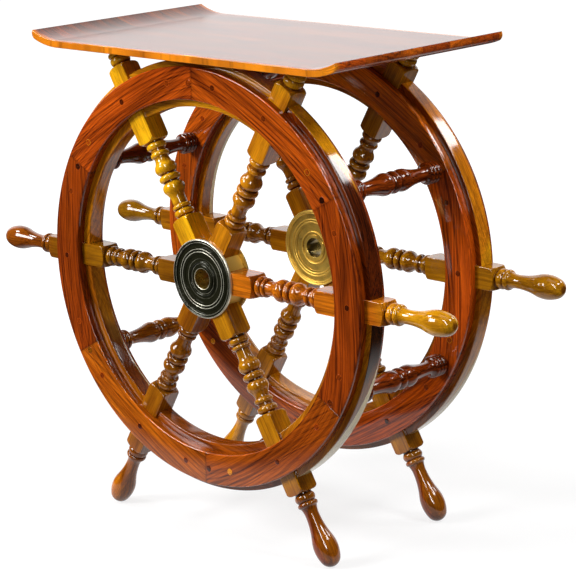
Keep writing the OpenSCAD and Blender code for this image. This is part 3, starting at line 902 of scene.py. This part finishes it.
def new_group(name, inputs, outputs):
    """An empty node group, the sockets of its input node and those of its output node. Names of inputs and
    outputs are given under their kind."""
    tree = bpy.data.node_groups.new(name, "ShaderNodeTree")
    for side, kinds in (("INPUT", inputs), ("OUTPUT", outputs)):
        for kind, labels in kinds.items():
            for label in labels:
                tree.interface.new_socket(label, in_out=side, socket_type="NodeSocket" + kind)
    return tree, tree.nodes.new("NodeGroupInput").outputs, tree.nodes.new("NodeGroupOutput").inputs


# Stretch along, across and through the board, detail and roughness of the noises of the grain: its drift,
# streaks, density, fibres, pores and clouds
GRAIN_NOISES = (((5, 22, 22), 3.0, 0.55), ((6, 480, 480), 4.0, 0.6), ((4, 60, 60), 2.0, 0.5),
                ((22, 700, 700), 3.0, 0.6), ((90, 1700, 1700), 1.0, 0.5), ((12, 55, 55), 3.0, 0.55))


def grain_group():
    """Grain of sawn wood. The growth rings are noise along the distance from a heart line beside the board,
    which wanders and arches along it. Fibres and pores are noise drawn out along the board."""
    made = bpy.data.node_groups.get("Grain")
    if made:
        return made
    tree, enter, leave = new_group(
        "Grain",
        {"Vector": ("Board", "Plank", "Heart"), "Float": ("Bands", "Wander", "Arch")},
        {"Float": ("Figure", "Fibre", "Pores", "Cloud")},
    )
    sawn = vectors(tree, "ADD", enter["Board"], enter["Plank"])
    slow, streaks, dense, fibre, pores, cloud = (noise(tree, sawn, *row) for row in GRAIN_NOISES)
    cut = vectors(tree, "MULTIPLY_ADD", enter["Plank"], (0.015, 0.006, 0.004), enter["Board"])
    away = vectors(tree, "MULTIPLY", vectors(tree, "SUBTRACT", cut, enter["Heart"]), (0, 1, 1))
    along = node(tree, "SeparateXYZ", {0: cut}).outputs[0]
    arch = maths(tree, "MULTIPLY", maths(tree, "MULTIPLY", along, along), enter["Arch"])
    drift = maths(tree, "MULTIPLY", maths(tree, "SUBTRACT", slow, 0.5), enter["Wander"])
    ring = maths(tree, "ADD", maths(tree, "ADD", vectors(tree, "LENGTH", away), arch), drift)
    offset = vectors(tree, "DOT_PRODUCT", enter["Plank"], (7.0, 5.0, 3.0))
    bands = noise_line(tree, maths(tree, "MULTIPLY_ADD", ring, enter["Bands"], offset), 3.0, 0.7)
    figure = maths(tree, "MULTIPLY_ADD", spread(tree, bands, 0.43, 0.62), 0.6,
                   spread(tree, maths(tree, "MULTIPLY_ADD", dense, 0.6, streaks), 0.74, 0.94, 0.0, 0.6))
    for value, socket in zip((figure, fibre, spread(tree, pores, 0.6, 0.72), cloud), leave):
        feed(tree, socket, value)
    return tree


def stain_group():
    """Colour of oiled wood from its grain: light and dark figure, a golden variety, a tone from dark to
    light, sapwood at the edge of the board, lifted as painted light from the floor, and fine fibres and
    pores over everything."""
    made = bpy.data.node_groups.get("Stain")
    if made:
        return made
    tree, enter, leave = new_group(
        "Stain",
        {"Float": ("Figure", "Fibre", "Pores", "Cloud", "Contrast", "Tone", "Gold", "Sap"),
         "Color": ("Light", "Dark", "Gold Light", "Gold Dark", "Sapwood")},
        {"Color": ("Color",), "Float": ("Roughness", "Height")},
    )
    soft = maths(tree, "MULTIPLY_ADD", enter["Gold"], -0.6, 1.0)
    figure = maths(tree, "MULTIPLY", maths(tree, "MULTIPLY", enter["Figure"], enter["Contrast"]), soft)
    red = blend(tree, figure, enter["Light"], enter["Dark"])
    golden = blend(tree, figure, enter["Gold Light"], enter["Gold Dark"])
    reach = maths(tree, "MULTIPLY_ADD", enter["Gold"], 0.9, 0.12)
    drift = maths(tree, "MULTIPLY", maths(tree, "SUBTRACT", enter["Cloud"], 0.5), reach)
    stain = blend(tree, maths(tree, "ADD", enter["Gold"], drift), red, golden)
    level = maths(tree, "MULTIPLY", enter["Tone"], spread(tree, enter["Cloud"], 0.3, 0.7, 0.72, 1.28, False))
    pale = spread(tree, maths(tree, "MULTIPLY_ADD", enter["Figure"], 0.15, enter["Sap"]), 0.45, 0.6)
    stain = blend(tree, pale, shade(tree, stain, level), enter["Sapwood"])
    stain = shade(tree, stain, spread(tree, enter["Fibre"], 0.3, 0.7, 0.78, 1.2, False))
    stain = blend(tree, maths(tree, "MULTIPLY", enter["Pores"], 0.45), stain, enter["Dark"])
    feed(tree, leave["Color"], stain)
    feed(tree, leave["Roughness"], maths(tree, "MULTIPLY_ADD", enter["Fibre"], 0.2, 0.28))
    feed(tree, leave["Height"], maths(tree, "MULTIPLY_ADD", enter["Pores"], -1.0, enter["Fibre"]))
    return tree


def attribute(tree, name):
    """A vertex attribute of the piece: its vector, and its single value."""
    made = node(tree, "Attribute", {}, attribute_name=name, attribute_type="GEOMETRY")
    return made.outputs["Vector"], made.outputs["Fac"]


def rgb(colour):
    """A colour with its alpha for a node's input."""
    return (*colour, 1.0)


def new_material(name):
    """A material with an empty node tree, and the tree."""
    made = bpy.data.materials.new(name)
    made.use_nodes = True
    made.node_tree.nodes.clear()
    return made, made.node_tree


def wood(name, contrast, heart, bands, wander, arch, boards=None, haze=0.1):
    """A varnished wood. The board's place, the tone, the gold and the sapwood come from the piece's own
    attributes, and the tone also carries painted shade and highlights. A panel glued up of boards has its
    place between the glue lines, and each board adds its own tone and gold."""
    made = bpy.data.materials.get(name)
    if made:
        return made
    c = settings().colours
    made, tree = new_material(name)
    board, sawn = attribute(tree, "board")[0], attribute(tree, "plank")[0]
    tone, gold, sap = (attribute(tree, key)[1] for key in ("tone", "gold", "sap"))
    if boards:
        board, sawn, level, golden = glued(tree, board, sawn, boards)
        tone, gold = maths(tree, "MULTIPLY", tone, level), maths(tree, "ADD", gold, golden)
    grain = node(tree, "Group", {
        "Board": board, "Plank": sawn, "Heart": heart, "Bands": bands, "Wander": wander, "Arch": arch,
    }, node_tree=grain_group())
    stain = node(tree, "Group", {
        **{key: grain.outputs[key] for key in ("Figure", "Fibre", "Pores", "Cloud")},
        "Light": rgb(c.rosewood_light), "Dark": rgb(c.rosewood_dark), "Gold Light": rgb(c.honey_light),
        "Gold Dark": rgb(c.honey_dark), "Sapwood": rgb(c.sapwood), "Contrast": contrast,
        "Tone": tone, "Gold": gold, "Sap": sap,
    }, node_tree=stain_group())
    bump = node(tree, "Bump", {"Strength": 0.25, "Distance": 0.00006, "Height": stain.outputs["Height"]})
    shader = node(tree, "BsdfPrincipled", {
        "Base Color": stain.outputs["Color"], "Roughness": stain.outputs["Roughness"],
        "Normal": bump.outputs[0], "Specular IOR Level": 0.0, "Coat Weight": 1.0, "Coat Roughness": haze,
        "Coat IOR": 1.5,
    })
    node(tree, "OutputMaterial", {"Surface": shader.outputs[0]})
    return made


def glued(tree, place, sawn, boards):
    """Cuts a panel into boards of one width along X. Each board has its own tone and gold, and a random
    colour for its number shifts its grain along the plank."""
    k = settings().top
    width = 2 * k.half_width / len(boards)
    x, y, z = node(tree, "SeparateXYZ", {0: place}).outputs
    number = maths(tree, "FLOOR", maths(tree, "DIVIDE", y, width))
    across = maths(tree, "SUBTRACT", y, maths(tree, "MULTIPLY", maths(tree, "ADD", number, 0.5), width))
    chance = node(tree, "TexWhiteNoise", {"W": maths(tree, "ADD", number, 11.5)}, noise_dimensions="1D")
    board = node(tree, "CombineXYZ", {0: x, 1: across, 2: maths(tree, "SUBTRACT", z, k.underside)})
    shifted = vectors(tree, "ADD", sawn, vectors(tree, "MULTIPLY", chance.outputs["Color"], (9, 7, 5)))
    levels = node(tree, "ValToRGB", {0: spread(tree, y, -k.half_width, k.half_width, smooth=False)})
    ramp = levels.color_ramp
    ramp.interpolation = "CONSTANT"
    for i, (tone, gold) in enumerate(boards):
        stop = ramp.elements[0] if i == 0 else ramp.elements.new(i / len(boards))
        stop.color = (tone / 2, gold, 0, 1)
    ramp.elements.remove(ramp.elements[-1])
    levels = node(tree, "SeparateColor", {0: levels.outputs[0]}).outputs
    return board.outputs[0], shifted, maths(tree, "MULTIPLY", levels[0], 2), levels[1]


def brass(name, patina):
    """Turned brass. Fine rings round the axis roughen it, and a patina darkens it between its raised rings.
    Its attributes tone, gold and sap say how metallic, how pale with painted reflection and how worn it is."""
    made = bpy.data.materials.get(name)
    if made:
        return made
    c = settings().colours
    made, tree = new_material(name)
    place = attribute(tree, "board")[0]
    radius = vectors(tree, "LENGTH", vectors(tree, "MULTIPLY", place, (1, 1, 0)))
    marks = noise_line(tree, maths(tree, "MULTIPLY", radius, 2600), 3.0, 0.6)
    cloud = noise(tree, place, (45, 45, 45), 4.0, 0.6)
    metal, pale, worn = (attribute(tree, key)[1] for key in ("tone", "gold", "sap"))
    dull = maths(tree, "SUBTRACT", maths(tree, "MULTIPLY_ADD", cloud, 0.7, patina - 0.35), worn)
    dull = spread(tree, maths(tree, "MULTIPLY_ADD", marks, 0.25, dull), 0.1, 0.75)
    # The pale mask paints a reflection on the raised rings
    colour = blend(tree, dull, blend(tree, pale, rgb(c.brass), rgb(c.worn_brass)), rgb(c.bronze))
    rough = maths(tree, "MULTIPLY_ADD", dull, -0.22, maths(tree, "MULTIPLY_ADD", marks, 0.16, 0.3))
    bump = node(tree, "Bump", {"Strength": 0.35, "Distance": 0.00008, "Height": marks})
    shader = node(tree, "BsdfPrincipled", {
        "Base Color": colour, "Roughness": rough, "Normal": bump.outputs[0],
        "Metallic": maths(tree, "MULTIPLY", metal, maths(tree, "MULTIPLY_ADD", dull, -0.35, 0.75)),
    })
    node(tree, "OutputMaterial", {"Surface": shader.outputs[0]})
    return made


# Operators

class WHEEL_OT_stage(bpy.types.Operator):
    """Makes the floor, the surroundings, the lamps and the camera"""

    bl_idname = "wheel_table.stage"
    bl_label = "Studio"

    def execute(self, context):
        add_floor()
        add_surroundings(context.scene)
        for lamp in LAMPS:
            add_lamp(*lamp)
        add_camera(context.scene)
        context.scene.view_settings.view_transform = "Standard"
        return {"FINISHED"}


# Colour of the floor, and how much it is lifted to white under the table and away from it
FLOOR_GREY, LIFT_NEAR, LIFT_FAR = 0.25, 0.78, 1.0
# Middle of the patch of floor that gloss sees bright, the radii where it fades, and how bright the rest is
PATCH, PATCH_FADE, GLOSS_DARK = (-0.1, 0.28, 0), (0.5, 0.75), 0.03
# Brightness of the screen that gloss sees in the world, and light of the world on everything else
SCREEN, WORLD_LIGHT = 1.45, 0.16
WHITE = (1.0, 1.0, 1.0, 1.0)


def add_floor():
    """A wide disc under the table, as rings of points whose radii grow with the square of their number."""
    floor_size, rings, cols = 12.0, 24, 64
    radius = floor_size * np.linspace(0.01, 1, rings) ** 2
    theta = np.linspace(0, 2 * math.pi, cols, endpoint=False)
    r, t = np.meshgrid(radius, theta, indexing="ij")
    points = np.stack([r * np.cos(t), r * np.sin(t), 0 * r], -1).reshape(-1, 3)
    ring = np.arange(cols)
    hub = np.stack([np.full(cols, len(points)), ring, (ring + 1) % cols], 1)
    quads = tube_faces(rings, cols, False)[:, ::-1]
    mesh = bpy.data.meshes.new("studio_floor")
    mesh.from_pydata(np.vstack([points, (0, 0, 0)]).tolist(), [], quads.tolist() + hub.tolist())
    floor = bpy.data.objects.new("studio_floor", mesh)
    bpy.context.scene.collection.objects.link(floor)
    mesh.materials.append(floor_finish())


def floor_finish():
    """A matt floor that the camera sees lifted to white, with its shadow. Gloss sees it bright near the
    table and dark beyond."""
    material, tree = new_material("Studio floor")
    light = node(tree, "LightPath", {}).outputs
    seen = maths(tree, "MAXIMUM", light["Is Camera Ray"], light["Is Transmission Ray"])
    place = node(tree, "TexCoord", {}).outputs["Object"]
    white = spread(tree, vectors(tree, "LENGTH", place), 0.45, 1.4, LIFT_NEAR, LIFT_FAR)
    lift = node(tree, "Emission", {"Color": WHITE, "Strength": maths(tree, "MULTIPLY", seen, white)})
    matt = node(tree, "BsdfDiffuse", {"Color": rgb((FLOOR_GREY,) * 3)})
    plain = node(tree, "AddShader", {0: matt.outputs[0], 1: lift.outputs[0]})
    away = vectors(tree, "LENGTH", vectors(tree, "SUBTRACT", place, PATCH))
    bright = spread(tree, away, *PATCH_FADE, 1.0, GLOSS_DARK)
    patch = node(tree, "Emission", {"Color": WHITE, "Strength": bright})
    both = node(tree, "MixShader", {0: light["Is Glossy Ray"], 1: plain.outputs[0], 2: patch.outputs[0]})
    node(tree, "OutputMaterial", {"Surface": both.outputs[0]})
    return material


def add_surroundings(scene):
    """A world that is white to the camera and gives soft plain light to everything else. Gloss sees it dark,
    apart from a bright screen low at the back on the left."""
    world = bpy.data.worlds.new("Studio white")
    scene.world = world
    world.use_nodes = True
    tree = world.node_tree
    tree.nodes.clear()
    light = node(tree, "LightPath", {}).outputs
    glossy = light["Is Glossy Ray"]
    seen = maths(tree, "MAXIMUM", light["Is Camera Ray"], light["Is Transmission Ray"])
    x, y, z = node(tree, "SeparateXYZ", {0: node(tree, "TexCoord", {}).outputs["Generated"]}).outputs
    left_back = maths(tree, "MULTIPLY", spread(tree, x, 0.0, 0.3, 1.0, 0.0), spread(tree, y, 0.0, 0.3))
    screen = maths(tree, "MULTIPLY", left_back, spread(tree, z, 0.55, 0.85, 1.0, 0.0))
    mirrored = maths(tree, "MULTIPLY", glossy, maths(tree, "MULTIPLY_ADD", screen, SCREEN, GLOSS_DARK))
    plain = maths(tree, "MULTIPLY", maths(tree, "SUBTRACT", 1.0, glossy), WORLD_LIGHT)
    strength = maths(tree, "MAXIMUM", seen, maths(tree, "ADD", mirrored, plain))
    back = node(tree, "Background", {"Color": WHITE, "Strength": strength})
    node(tree, "OutputWorld", {"Surface": back.outputs[0]})


# Name, place, aim, direction of the long side, length, width and power of each lamp, and whether it lights
# more than the gloss
LAMPS = (
    ("key_lamp", (-1.7, -2.6, 1.9), (0, 0, 0.3), (1, 0, 0), 1.3, 1.3, 120.0, True),
    ("right_lamp", (1.8, 0.3, 2.35), (0, 0, 0.4), (0, 1, 0), 0.8, 0.6, 34.0, True),
    ("rear_lamp", (1.0, 1.75, 1.85), (0.1, 0, 0.45), (1, -1, 0), 0.6, 0.45, 13.0, True),
    ("left_lamp", (-1.7, -0.85, 2.1), (0, 0, 0.4), (0, 1, 0), 0.5, 0.5, 20.0, True),
    ("top_lamp", (0.2, -0.2, 2.6), (0, 0, 0.4), (1, 0, 0), 1.6, 1.0, 5.0, True),
    ("strip_lamp", (1.43, -2.24, 2.2), (0, 0, 0.35), (-0.62, 0.08, 0.65), 3.2, 0.4, 100.0, False),
)


def add_lamp(name, place, target, along, long, wide, power, lights):
    """A soft rectangular lamp that the camera doesn't see. It faces the target, with its long side as near
    to the direction along as it can lie."""
    data = bpy.data.lights.new(name, "AREA")
    data.shape, data.size, data.size_y, data.energy = "RECTANGLE", long, wide, power
    lamp = bpy.data.objects.new(name, data)
    bpy.context.scene.collection.objects.link(lamp)
    back = (Vector(place) - Vector(target)).normalized()
    up = back.cross(Vector(along)).normalized()
    turn = Matrix((up.cross(back), up, back)).transposed().to_4x4()
    lamp.matrix_world = Matrix.Translation(place) @ turn
    lamp.visible_camera, lamp.visible_diffuse = False, lights


# The camera's azimuth, elevation and roll in degrees, its place, and its lens and sensor in millimetres
CAMERA_ANGLES, CAMERA_PLACE = (43.4309, 14.3844, -1.6426), (1.8646, -1.9356, 0.9849)
LENS, SENSOR = 137.96, 36.0


def add_camera(scene):
    """The camera of the photograph, as fitted to the rims, the spokes, the rails and the tabletop."""
    azimuth, elevation, roll = (math.radians(a) for a in CAMERA_ANGLES)
    back = Vector((math.sin(azimuth) * math.cos(elevation), -math.cos(azimuth) * math.cos(elevation),
                   math.sin(elevation)))
    level = Vector((math.cos(azimuth), math.sin(azimuth), 0))
    upright = back.cross(level)
    right = level * math.cos(roll) + upright * math.sin(roll)
    up = upright * math.cos(roll) - level * math.sin(roll)
    data = bpy.data.cameras.new("photograph_view")
    data.lens, data.sensor_width = LENS, SENSOR
    camera = bpy.data.objects.new("photograph_view", data)
    scene.collection.objects.link(camera)
    turn = Matrix((right, up, back)).transposed().to_4x4()
    camera.matrix_world = Matrix.Translation(CAMERA_PLACE) @ turn
    scene.camera = camera


# Tone and gold of each spoke, and then of its handle, in the order of SIDES
SPOKE_TONES = {
    "front": ((1.05, 0.25, 0.95, 0.8), (0.85, 0.5, 1, 1), (1.15, 1.0, 1, 1), (0.4, 0.55, 0.48, 0.2),
              (0.55, 0.4, 0.8, 0.3), (0.72, 0.6, 0.55, 0.0)),
    "rear": ((0.65, 0.65, 0.85, 0.7), (0.6, 0.6, 1, 1), (0.65, 0.45, 1, 1), (0.6, 0.5, 0.36, 0.7),
             (0.7, 0.5, 0.9, 0.6), (0.7, 0.6, 0.6, 0.05)),
}


# How much painted shade in the grooves takes from a spoke's tone and gold, the factor of the tone on the
# long edges of its blocks, a painted highlight, and the most it gives, and the gold that one side of the
# lower right handles adds
GROOVE_SHADE, GROOVE_SHADE_GOLD, EDGE_HIGHLIGHT_GAIN, EDGE_HIGHLIGHT_MOST, SIDE_GOLD = 0.7, 0.5, 1.7, 1.4, 0.25


class WHEEL_OT_spokes(bpy.types.Operator):
    """Makes the twelve turned spokes with their handles"""

    bl_idname = "wheel_table.spokes"
    bl_label = "Spokes"

    def execute(self, context):
        finish = wood("Varnished spoke wood", 0.75, (0, 0.03, -0.045), 200, 0.008, 0.02)
        start, fade, half = settings().spoke.outer_end - 15 * MM, 40 * MM, 6 * MM
        grooves = in_grooves(spoke_profile(), TURNED)
        for index, side in enumerate(SIDES):
            skin = spoke_skin(index)
            station, across = skin[1][:, 0], skin[1][:, 1]
            out, hollow = np.clip((station - start) / fade, 0, 1), np.interp(station, *grooves)
            for wheel in WHEELS:
                tone, gold, handle_tone, handle_gold = SPOKE_TONES[wheel][index]
                # Painted shade: the grooves' tone and gold are lowered
                level = (1 - GROOVE_SHADE * hollow) * (tone + out * (handle_tone - tone))
                # Painted highlight: the tone is raised along the long edges of the blocks
                level = np.where(block_edges(skin[1]), np.minimum(EDGE_HIGHLIGHT_GAIN * level, EDGE_HIGHLIGHT_MOST), level)
                golden = gold + out * (handle_gold - gold)
                if side == "lower_right":
                    golden = golden + SIDE_GOLD * out * np.clip(across / half, 0, 1)
                make_piece(f"spoke_{wheel}_{side}", in_table(skin, wheel), finish, "spoke_wood",
                           [f"{wheel}_spoke_{side}"], plank("spoke", wheel, side), level,
                           (1 - GROOVE_SHADE_GOLD * hollow) * golden)
        return {"FINISHED"}


# Tone and gold of the felloes, in the order of SIDES
FELLOE_TONES = {
    "front_outer": ((0.62, 0.0), (0.9, 0.03), (0.88, 0.0), (0.57, 0.0), (0.85, 0.15), (0.68, 0.08)),
    "front_inner": ((0.6, 0.0), (0.8, 0.1), (0.7, 0.05), (0.9, 0.15), (0.7, 0.05), (0.8, 0.1)),
    "rear_outer": ((0.6, 0.05), (0.8, 0.1), (0.7, 0.05), (0.9, 0.2), (0.7, 0.05), (0.8, 0.1)),
    "rear_inner": ((1.0, 0.0), (1.05, 0.15), (0.9, 0.05), (0.8, 0.05), (0.75, 0.05), (0.85, 0.0)),
}


class WHEEL_OT_felloes(bpy.types.Operator):
    """Makes the twenty-four felloes of the four rings"""

    bl_idname = "wheel_table.felloes"
    bl_label = "Felloes"

    def execute(self, context):
        finish = wood("Varnished rosewood", 0.85, (0, -0.1, -0.06), 340, 0.012, 0.7)
        for ring in ("outer", "inner"):
            for index, side in enumerate(SIDES):
                skin = felloe_skin(index, ring)
                for wheel in WHEELS:
                    tone, gold = FELLOE_TONES[f"{wheel}_{ring}"][index]
                    # The tone carries a painted highlight on the felloe's rounded edges
                    make_piece(f"felloe_{wheel}_{ring}_{side}", in_table(skin, wheel), finish, "felloe_wood",
                               [f"{wheel}_{ring}_felloe_{side}"], plank("felloe", wheel, ring, side),
                               tone * felloe_wear(skin[1]), gold)
        return {"FINISHED"}


# For each filler, in the order of RAILS: tone and gold of its face at the right-hand and left-hand ends, the
# angle where one passes into the other and its slant across the face, tone and gold of the sides, which
# paint their light and shade, and the sapwood's direction along, across and through the filler with its
# limit. On the front lower right filler the dark end of the face and its sapwood paint a reflection
FILLER_TONES = {
    "front": (((0.18, 0.0), (1.35, 0.75), 36, 7, (0.3, 0.0), (0, 0, 0, 3)),
              ((1.2, 0.6), (1.1, 0.7), 90, 0, (0.9, 0.6), (0, 0, 0, 3)),
              ((0.9, 0.5), (1.2, 0.5), 150, 0, (1.1, 0.5), (0, 0, 0, 3)),
              ((0.9, 0.4), (0.45, 0.15), 205, 0, (0.6, 0.3), (0.2, 0, -1, 0.95)),
              ((0.45, 0.15), (0.5, 0.1), 270, 0, (0.5, 0.1), (0, 0, 0, 3)),
              ((0.5, 0.3), (0.1, 0.2), 343, -3, (0.8, 0.45), (-1, 0, -0.5, -0.1))),
    "rear": (((1.1, 0.8), (1.15, 0.4), 7, 3, (0.6, 0.1), (0, 0, 0, 3)),
             ((0.9, 0.4), (0.8, 0.4), 90, 0, (0.8, 0.4), (0, 0, 0, 3)),
             ((0.8, 0.4), (0.8, 0.4), 150, 0, (0.8, 0.4), (0, 0, 1, 0.5)),
             ((0.8, 0.45), (0.8, 0.45), 210, 0, (0.7, 0.4), (0, 0, 1, 0.9)),
             ((0.8, 0.45), (0.75, 0.4), 270, 0, (0.6, 0.35), (0, 0, 1, 0.9)),
             ((0.85, 0.6), (0.8, 0.4), 335, 0, (0.7, 0.35), (-0.9, 0, 0.8, 0.35))),
}


# Degrees over which one tone of a filler passes into the other, lengths that the sapwood's direction is
# counted in, and how sharp the sapwood's limit is
FILLER_PASSAGE, SAP_LENGTHS, SAP_SHARPNESS = 4, (120 * MM, 30 * MM, 10 * MM), 3


class WHEEL_OT_fillers(bpy.types.Operator):
    """Makes the twelve fillers between the rings, some with sapwood"""

    bl_idname = "wheel_table.fillers"
    bl_label = "Fillers"

    def execute(self, context):
        w = settings().wheel
        finish = wood("Varnished filler wood", 0.8, (0, 0.02, 0.05), 180, 0.012, 0.6)
        half = w.thick / 2 - w.felloe_t
        for index, rail in enumerate(RAILS):
            skin = filler_skin(index)
            board = skin[1]
            along = np.degrees(np.arctan2(skin[0][:, 1], skin[0][:, 0])) % 360
            depth = board[:, 2] / half
            face = np.abs(depth) < 1 - 0.3 * w.filler_arris / half
            for wheel in WHEELS:
                first, last, change, slant, shaded_flank, pale = FILLER_TONES[wheel][index]
                side = board / SAP_LENGTHS @ np.array(pale[:3])
                share = np.clip((along - change - slant * depth) / FILLER_PASSAGE + 0.5, 0, 1)[:, None]
                tones = np.array(first) + share * (np.array(last) - first)
                # The sides' tones are painted light and shade
                tone, gold = np.where(face[:, None], tones, np.array(shaded_flank)).T
                sap = np.clip(0.5 + SAP_SHARPNESS * (side - pale[3]), 0, 1) * face
                make_piece(f"filler_{wheel}_{rail}", in_table(skin, wheel), finish, "filler_wood",
                           [f"{wheel}_filler_{rail}"], plank("filler", wheel, rail), tone, gold, sap)
        return {"FINISHED"}


# Tone, gold and the tone of the tenons' ends of each rail, in the order of RAILS
STRETCHER_TONES = ((0.45, 0, 0.06), (0.4, 0, 0.6), (0.3, 0, 0.12), (0.75, 0.4, 0.4), (0.4, 0, 0.25),
                   (0.4, 0, 0.4))
# How much painted shade in the grooves takes from a rail's tone
RAIL_GROOVE_SHADE = 0.6


class WHEEL_OT_stretchers(bpy.types.Operator):
    """Makes the six turned rails between the wheels"""

    bl_idname = "wheel_table.stretchers"
    bl_label = "Stretchers"

    def execute(self, context):
        finish = wood("Varnished rail wood", 1.0, (0, 0.01, -0.03), 200, 0.02, 0.05)
        grooves = in_grooves(stretcher_line(), TURNED)
        w = settings().wheel
        outside = w.plane_y + w.thick / 2 - MM
        for index, rail in enumerate(RAILS):
            tone, gold, end_tone = STRETCHER_TONES[index]
            skin = stretcher_skin(index)
            station = skin[1][:, 0]
            hollow = np.interp(station, *grooves)
            # Painted shade: the grooves' tone is lowered
            tone = np.where(np.abs(station) > outside, end_tone, tone * (1 - RAIL_GROOVE_SHADE * hollow))
            make_piece(f"stretcher_piece_{rail}", skin, finish, "stretcher_wood", [f"stretcher_{rail}"],
                       plank("stretcher", rail), tone, gold)
        return {"FINISHED"}


# Tones of a wheel's pins: one at each spoke and two beside the next joint, from the right-hand spoke on
PIN_TONES = (0.1, 0.4, 0.6, 0.3, 0.2, 0.45, 0.15, 0.7, 0.35, 0.12, 0.5, 0.4, 0.12, 0.25, 1.2, 0.2, 0.5, 0.4)
# Width of a pin's pale edge, the tone that it adds, and the tone past which a pin is golden
PIN_EDGE, PIN_EDGE_TONE, GOLDEN_PIN = 0.35 * MM, 0.6, 1.1


class WHEEL_OT_pins(bpy.types.Operator):
    """Makes the pins that go through the rims"""

    bl_idname = "wheel_table.pins"
    bl_label = "Pins"

    def execute(self, context):
        finish = wood("Varnished pin wood", 0.8, (0, 0.01, 0.01), 300, 0.01, 0)
        skins = [in_table(skin, wheel) for wheel in WHEELS for skin in pin_skins()]
        tones = PIN_TONES + PIN_TONES[3:] + PIN_TONES[:3]
        skin = join(skins)
        edge = np.hypot(skin[1][:, 1], skin[1][:, 2]) > settings().wheel.pin - PIN_EDGE
        tone = np.repeat(tones, len(skins[0][0])) + PIN_EDGE_TONE * edge
        make_piece("rim_pin_ends", skin, finish, "pin_wood", ["rim_pins"], plank("pins"), tone,
                   np.where(tone > GOLDEN_PIN, 0.5, 0.0))
        return {"FINISHED"}


class WHEEL_OT_hubs(bpy.types.Operator):
    """Makes the brass hubs and their cover plates"""

    bl_idname = "wheel_table.hubs"
    bl_label = "Hubs"

    def execute(self, context):
        for part, skin, finish, slot in (
            ("hub", hub_skin(), brass("Dark turned brass", 0.9), "hub_brass"),
            ("hub_cover", cover_skin(), brass("Turned brass", 0.2), "cover_brass"),
        ):
            wear = brass_wear(skin[1], part == "hub")
            for wheel in WHEELS:
                make_piece(f"{part}_{wheel}", in_table(skin, wheel), finish, slot, [f"{wheel}_{part}"],
                           plank(part, wheel), *wear)
        return {"FINISHED"}


# Tone and gold of the tabletop's boards, from the front to the back
BOARD_TONES = ((1.0, 0.0), (0.75, 0.05), (1.0, 0.1), (0.75, 0.0), (1.05, 0.1), (0.8, 0.0))
# Share of those tones on the upper side, lowered there as painted shade, on the underside and ends and on
# the long edges, and those edges' gold
UPPER_SHADE_TONE, UNDER_TONE, LONG_EDGE_TONE, LONG_EDGE_GOLD = 0.38, 1.0, 1.3, 0.35


class WHEEL_OT_top(bpy.types.Operator):
    """Makes the tabletop with its swept ends"""

    bl_idname = "wheel_table.top"
    bl_label = "Tabletop"

    def execute(self, context):
        finish = wood("Varnished top wood", 0.8, (0, 0.02, -0.05), 220, 0.02, 0.05, BOARD_TONES, 0.2)
        k = settings().top
        skin = top_skin()
        inside = np.abs(skin[0][:, 1]) < k.half_width - k.arris - 0.1 * MM
        upper = inside & (skin[1][:, 2] > k.underside + k.thick - 0.1 * MM)
        # The upper side's lower tone is painted shade
        tone = np.where(inside, np.where(upper, UPPER_SHADE_TONE, UNDER_TONE), LONG_EDGE_TONE)
        make_piece("swept_tabletop", skin, finish, "tabletop_wood", ["tabletop"], plank("top"), tone,
                   np.where(inside, 0.0, LONG_EDGE_GOLD))
        return {"FINISHED"}


OPERATORS = (
    WHEEL_OT_stage, WHEEL_OT_spokes, WHEEL_OT_felloes, WHEEL_OT_fillers, WHEEL_OT_stretchers, WHEEL_OT_pins,
    WHEEL_OT_hubs, WHEEL_OT_top,
)


class WHEEL_PT_sidebar(bpy.types.Panel):
    """Lists the makers of the pieces and of the studio"""

    bl_label = "Wheel Table"
    bl_idname = "WHEEL_PT_sidebar"
    bl_space_type = "VIEW_3D"
    bl_region_type = "UI"
    bl_category = "Wheel Table"

    def draw(self, context):
        for operator in OPERATORS:
            self.layout.operator(operator.bl_idname)
        for name in ("wheel", "spoke", "stretcher", "hub", "top", "colours"):
            box = self.layout.box()
            group = getattr(context.scene.wheel_table, name)
            for key in group.__annotations__:
                box.prop(group, key)


CLASSES = (
    WheelSizes, SpokeSizes, StretcherSizes, HubSizes, TopSizes, FinishColours, TableSettings,
    *OPERATORS, WHEEL_PT_sidebar,
)


def register():
    """Adds the classes and the table's settings to Blender."""
    for cls in CLASSES:
        bpy.utils.register_class(cls)
    bpy.types.Scene.wheel_table = PointerProperty(type=TableSettings)


def unregister():
    """Takes them out again."""
    del bpy.types.Scene.wheel_table
    for cls in reversed(CLASSES):
        bpy.utils.unregister_class(cls)


def main():
    register()
    for operator in OPERATORS:
        group, name = operator.bl_idname.split(".")
        getattr(getattr(bpy.ops, group), name)()


if __name__ == "__main__":
    main()
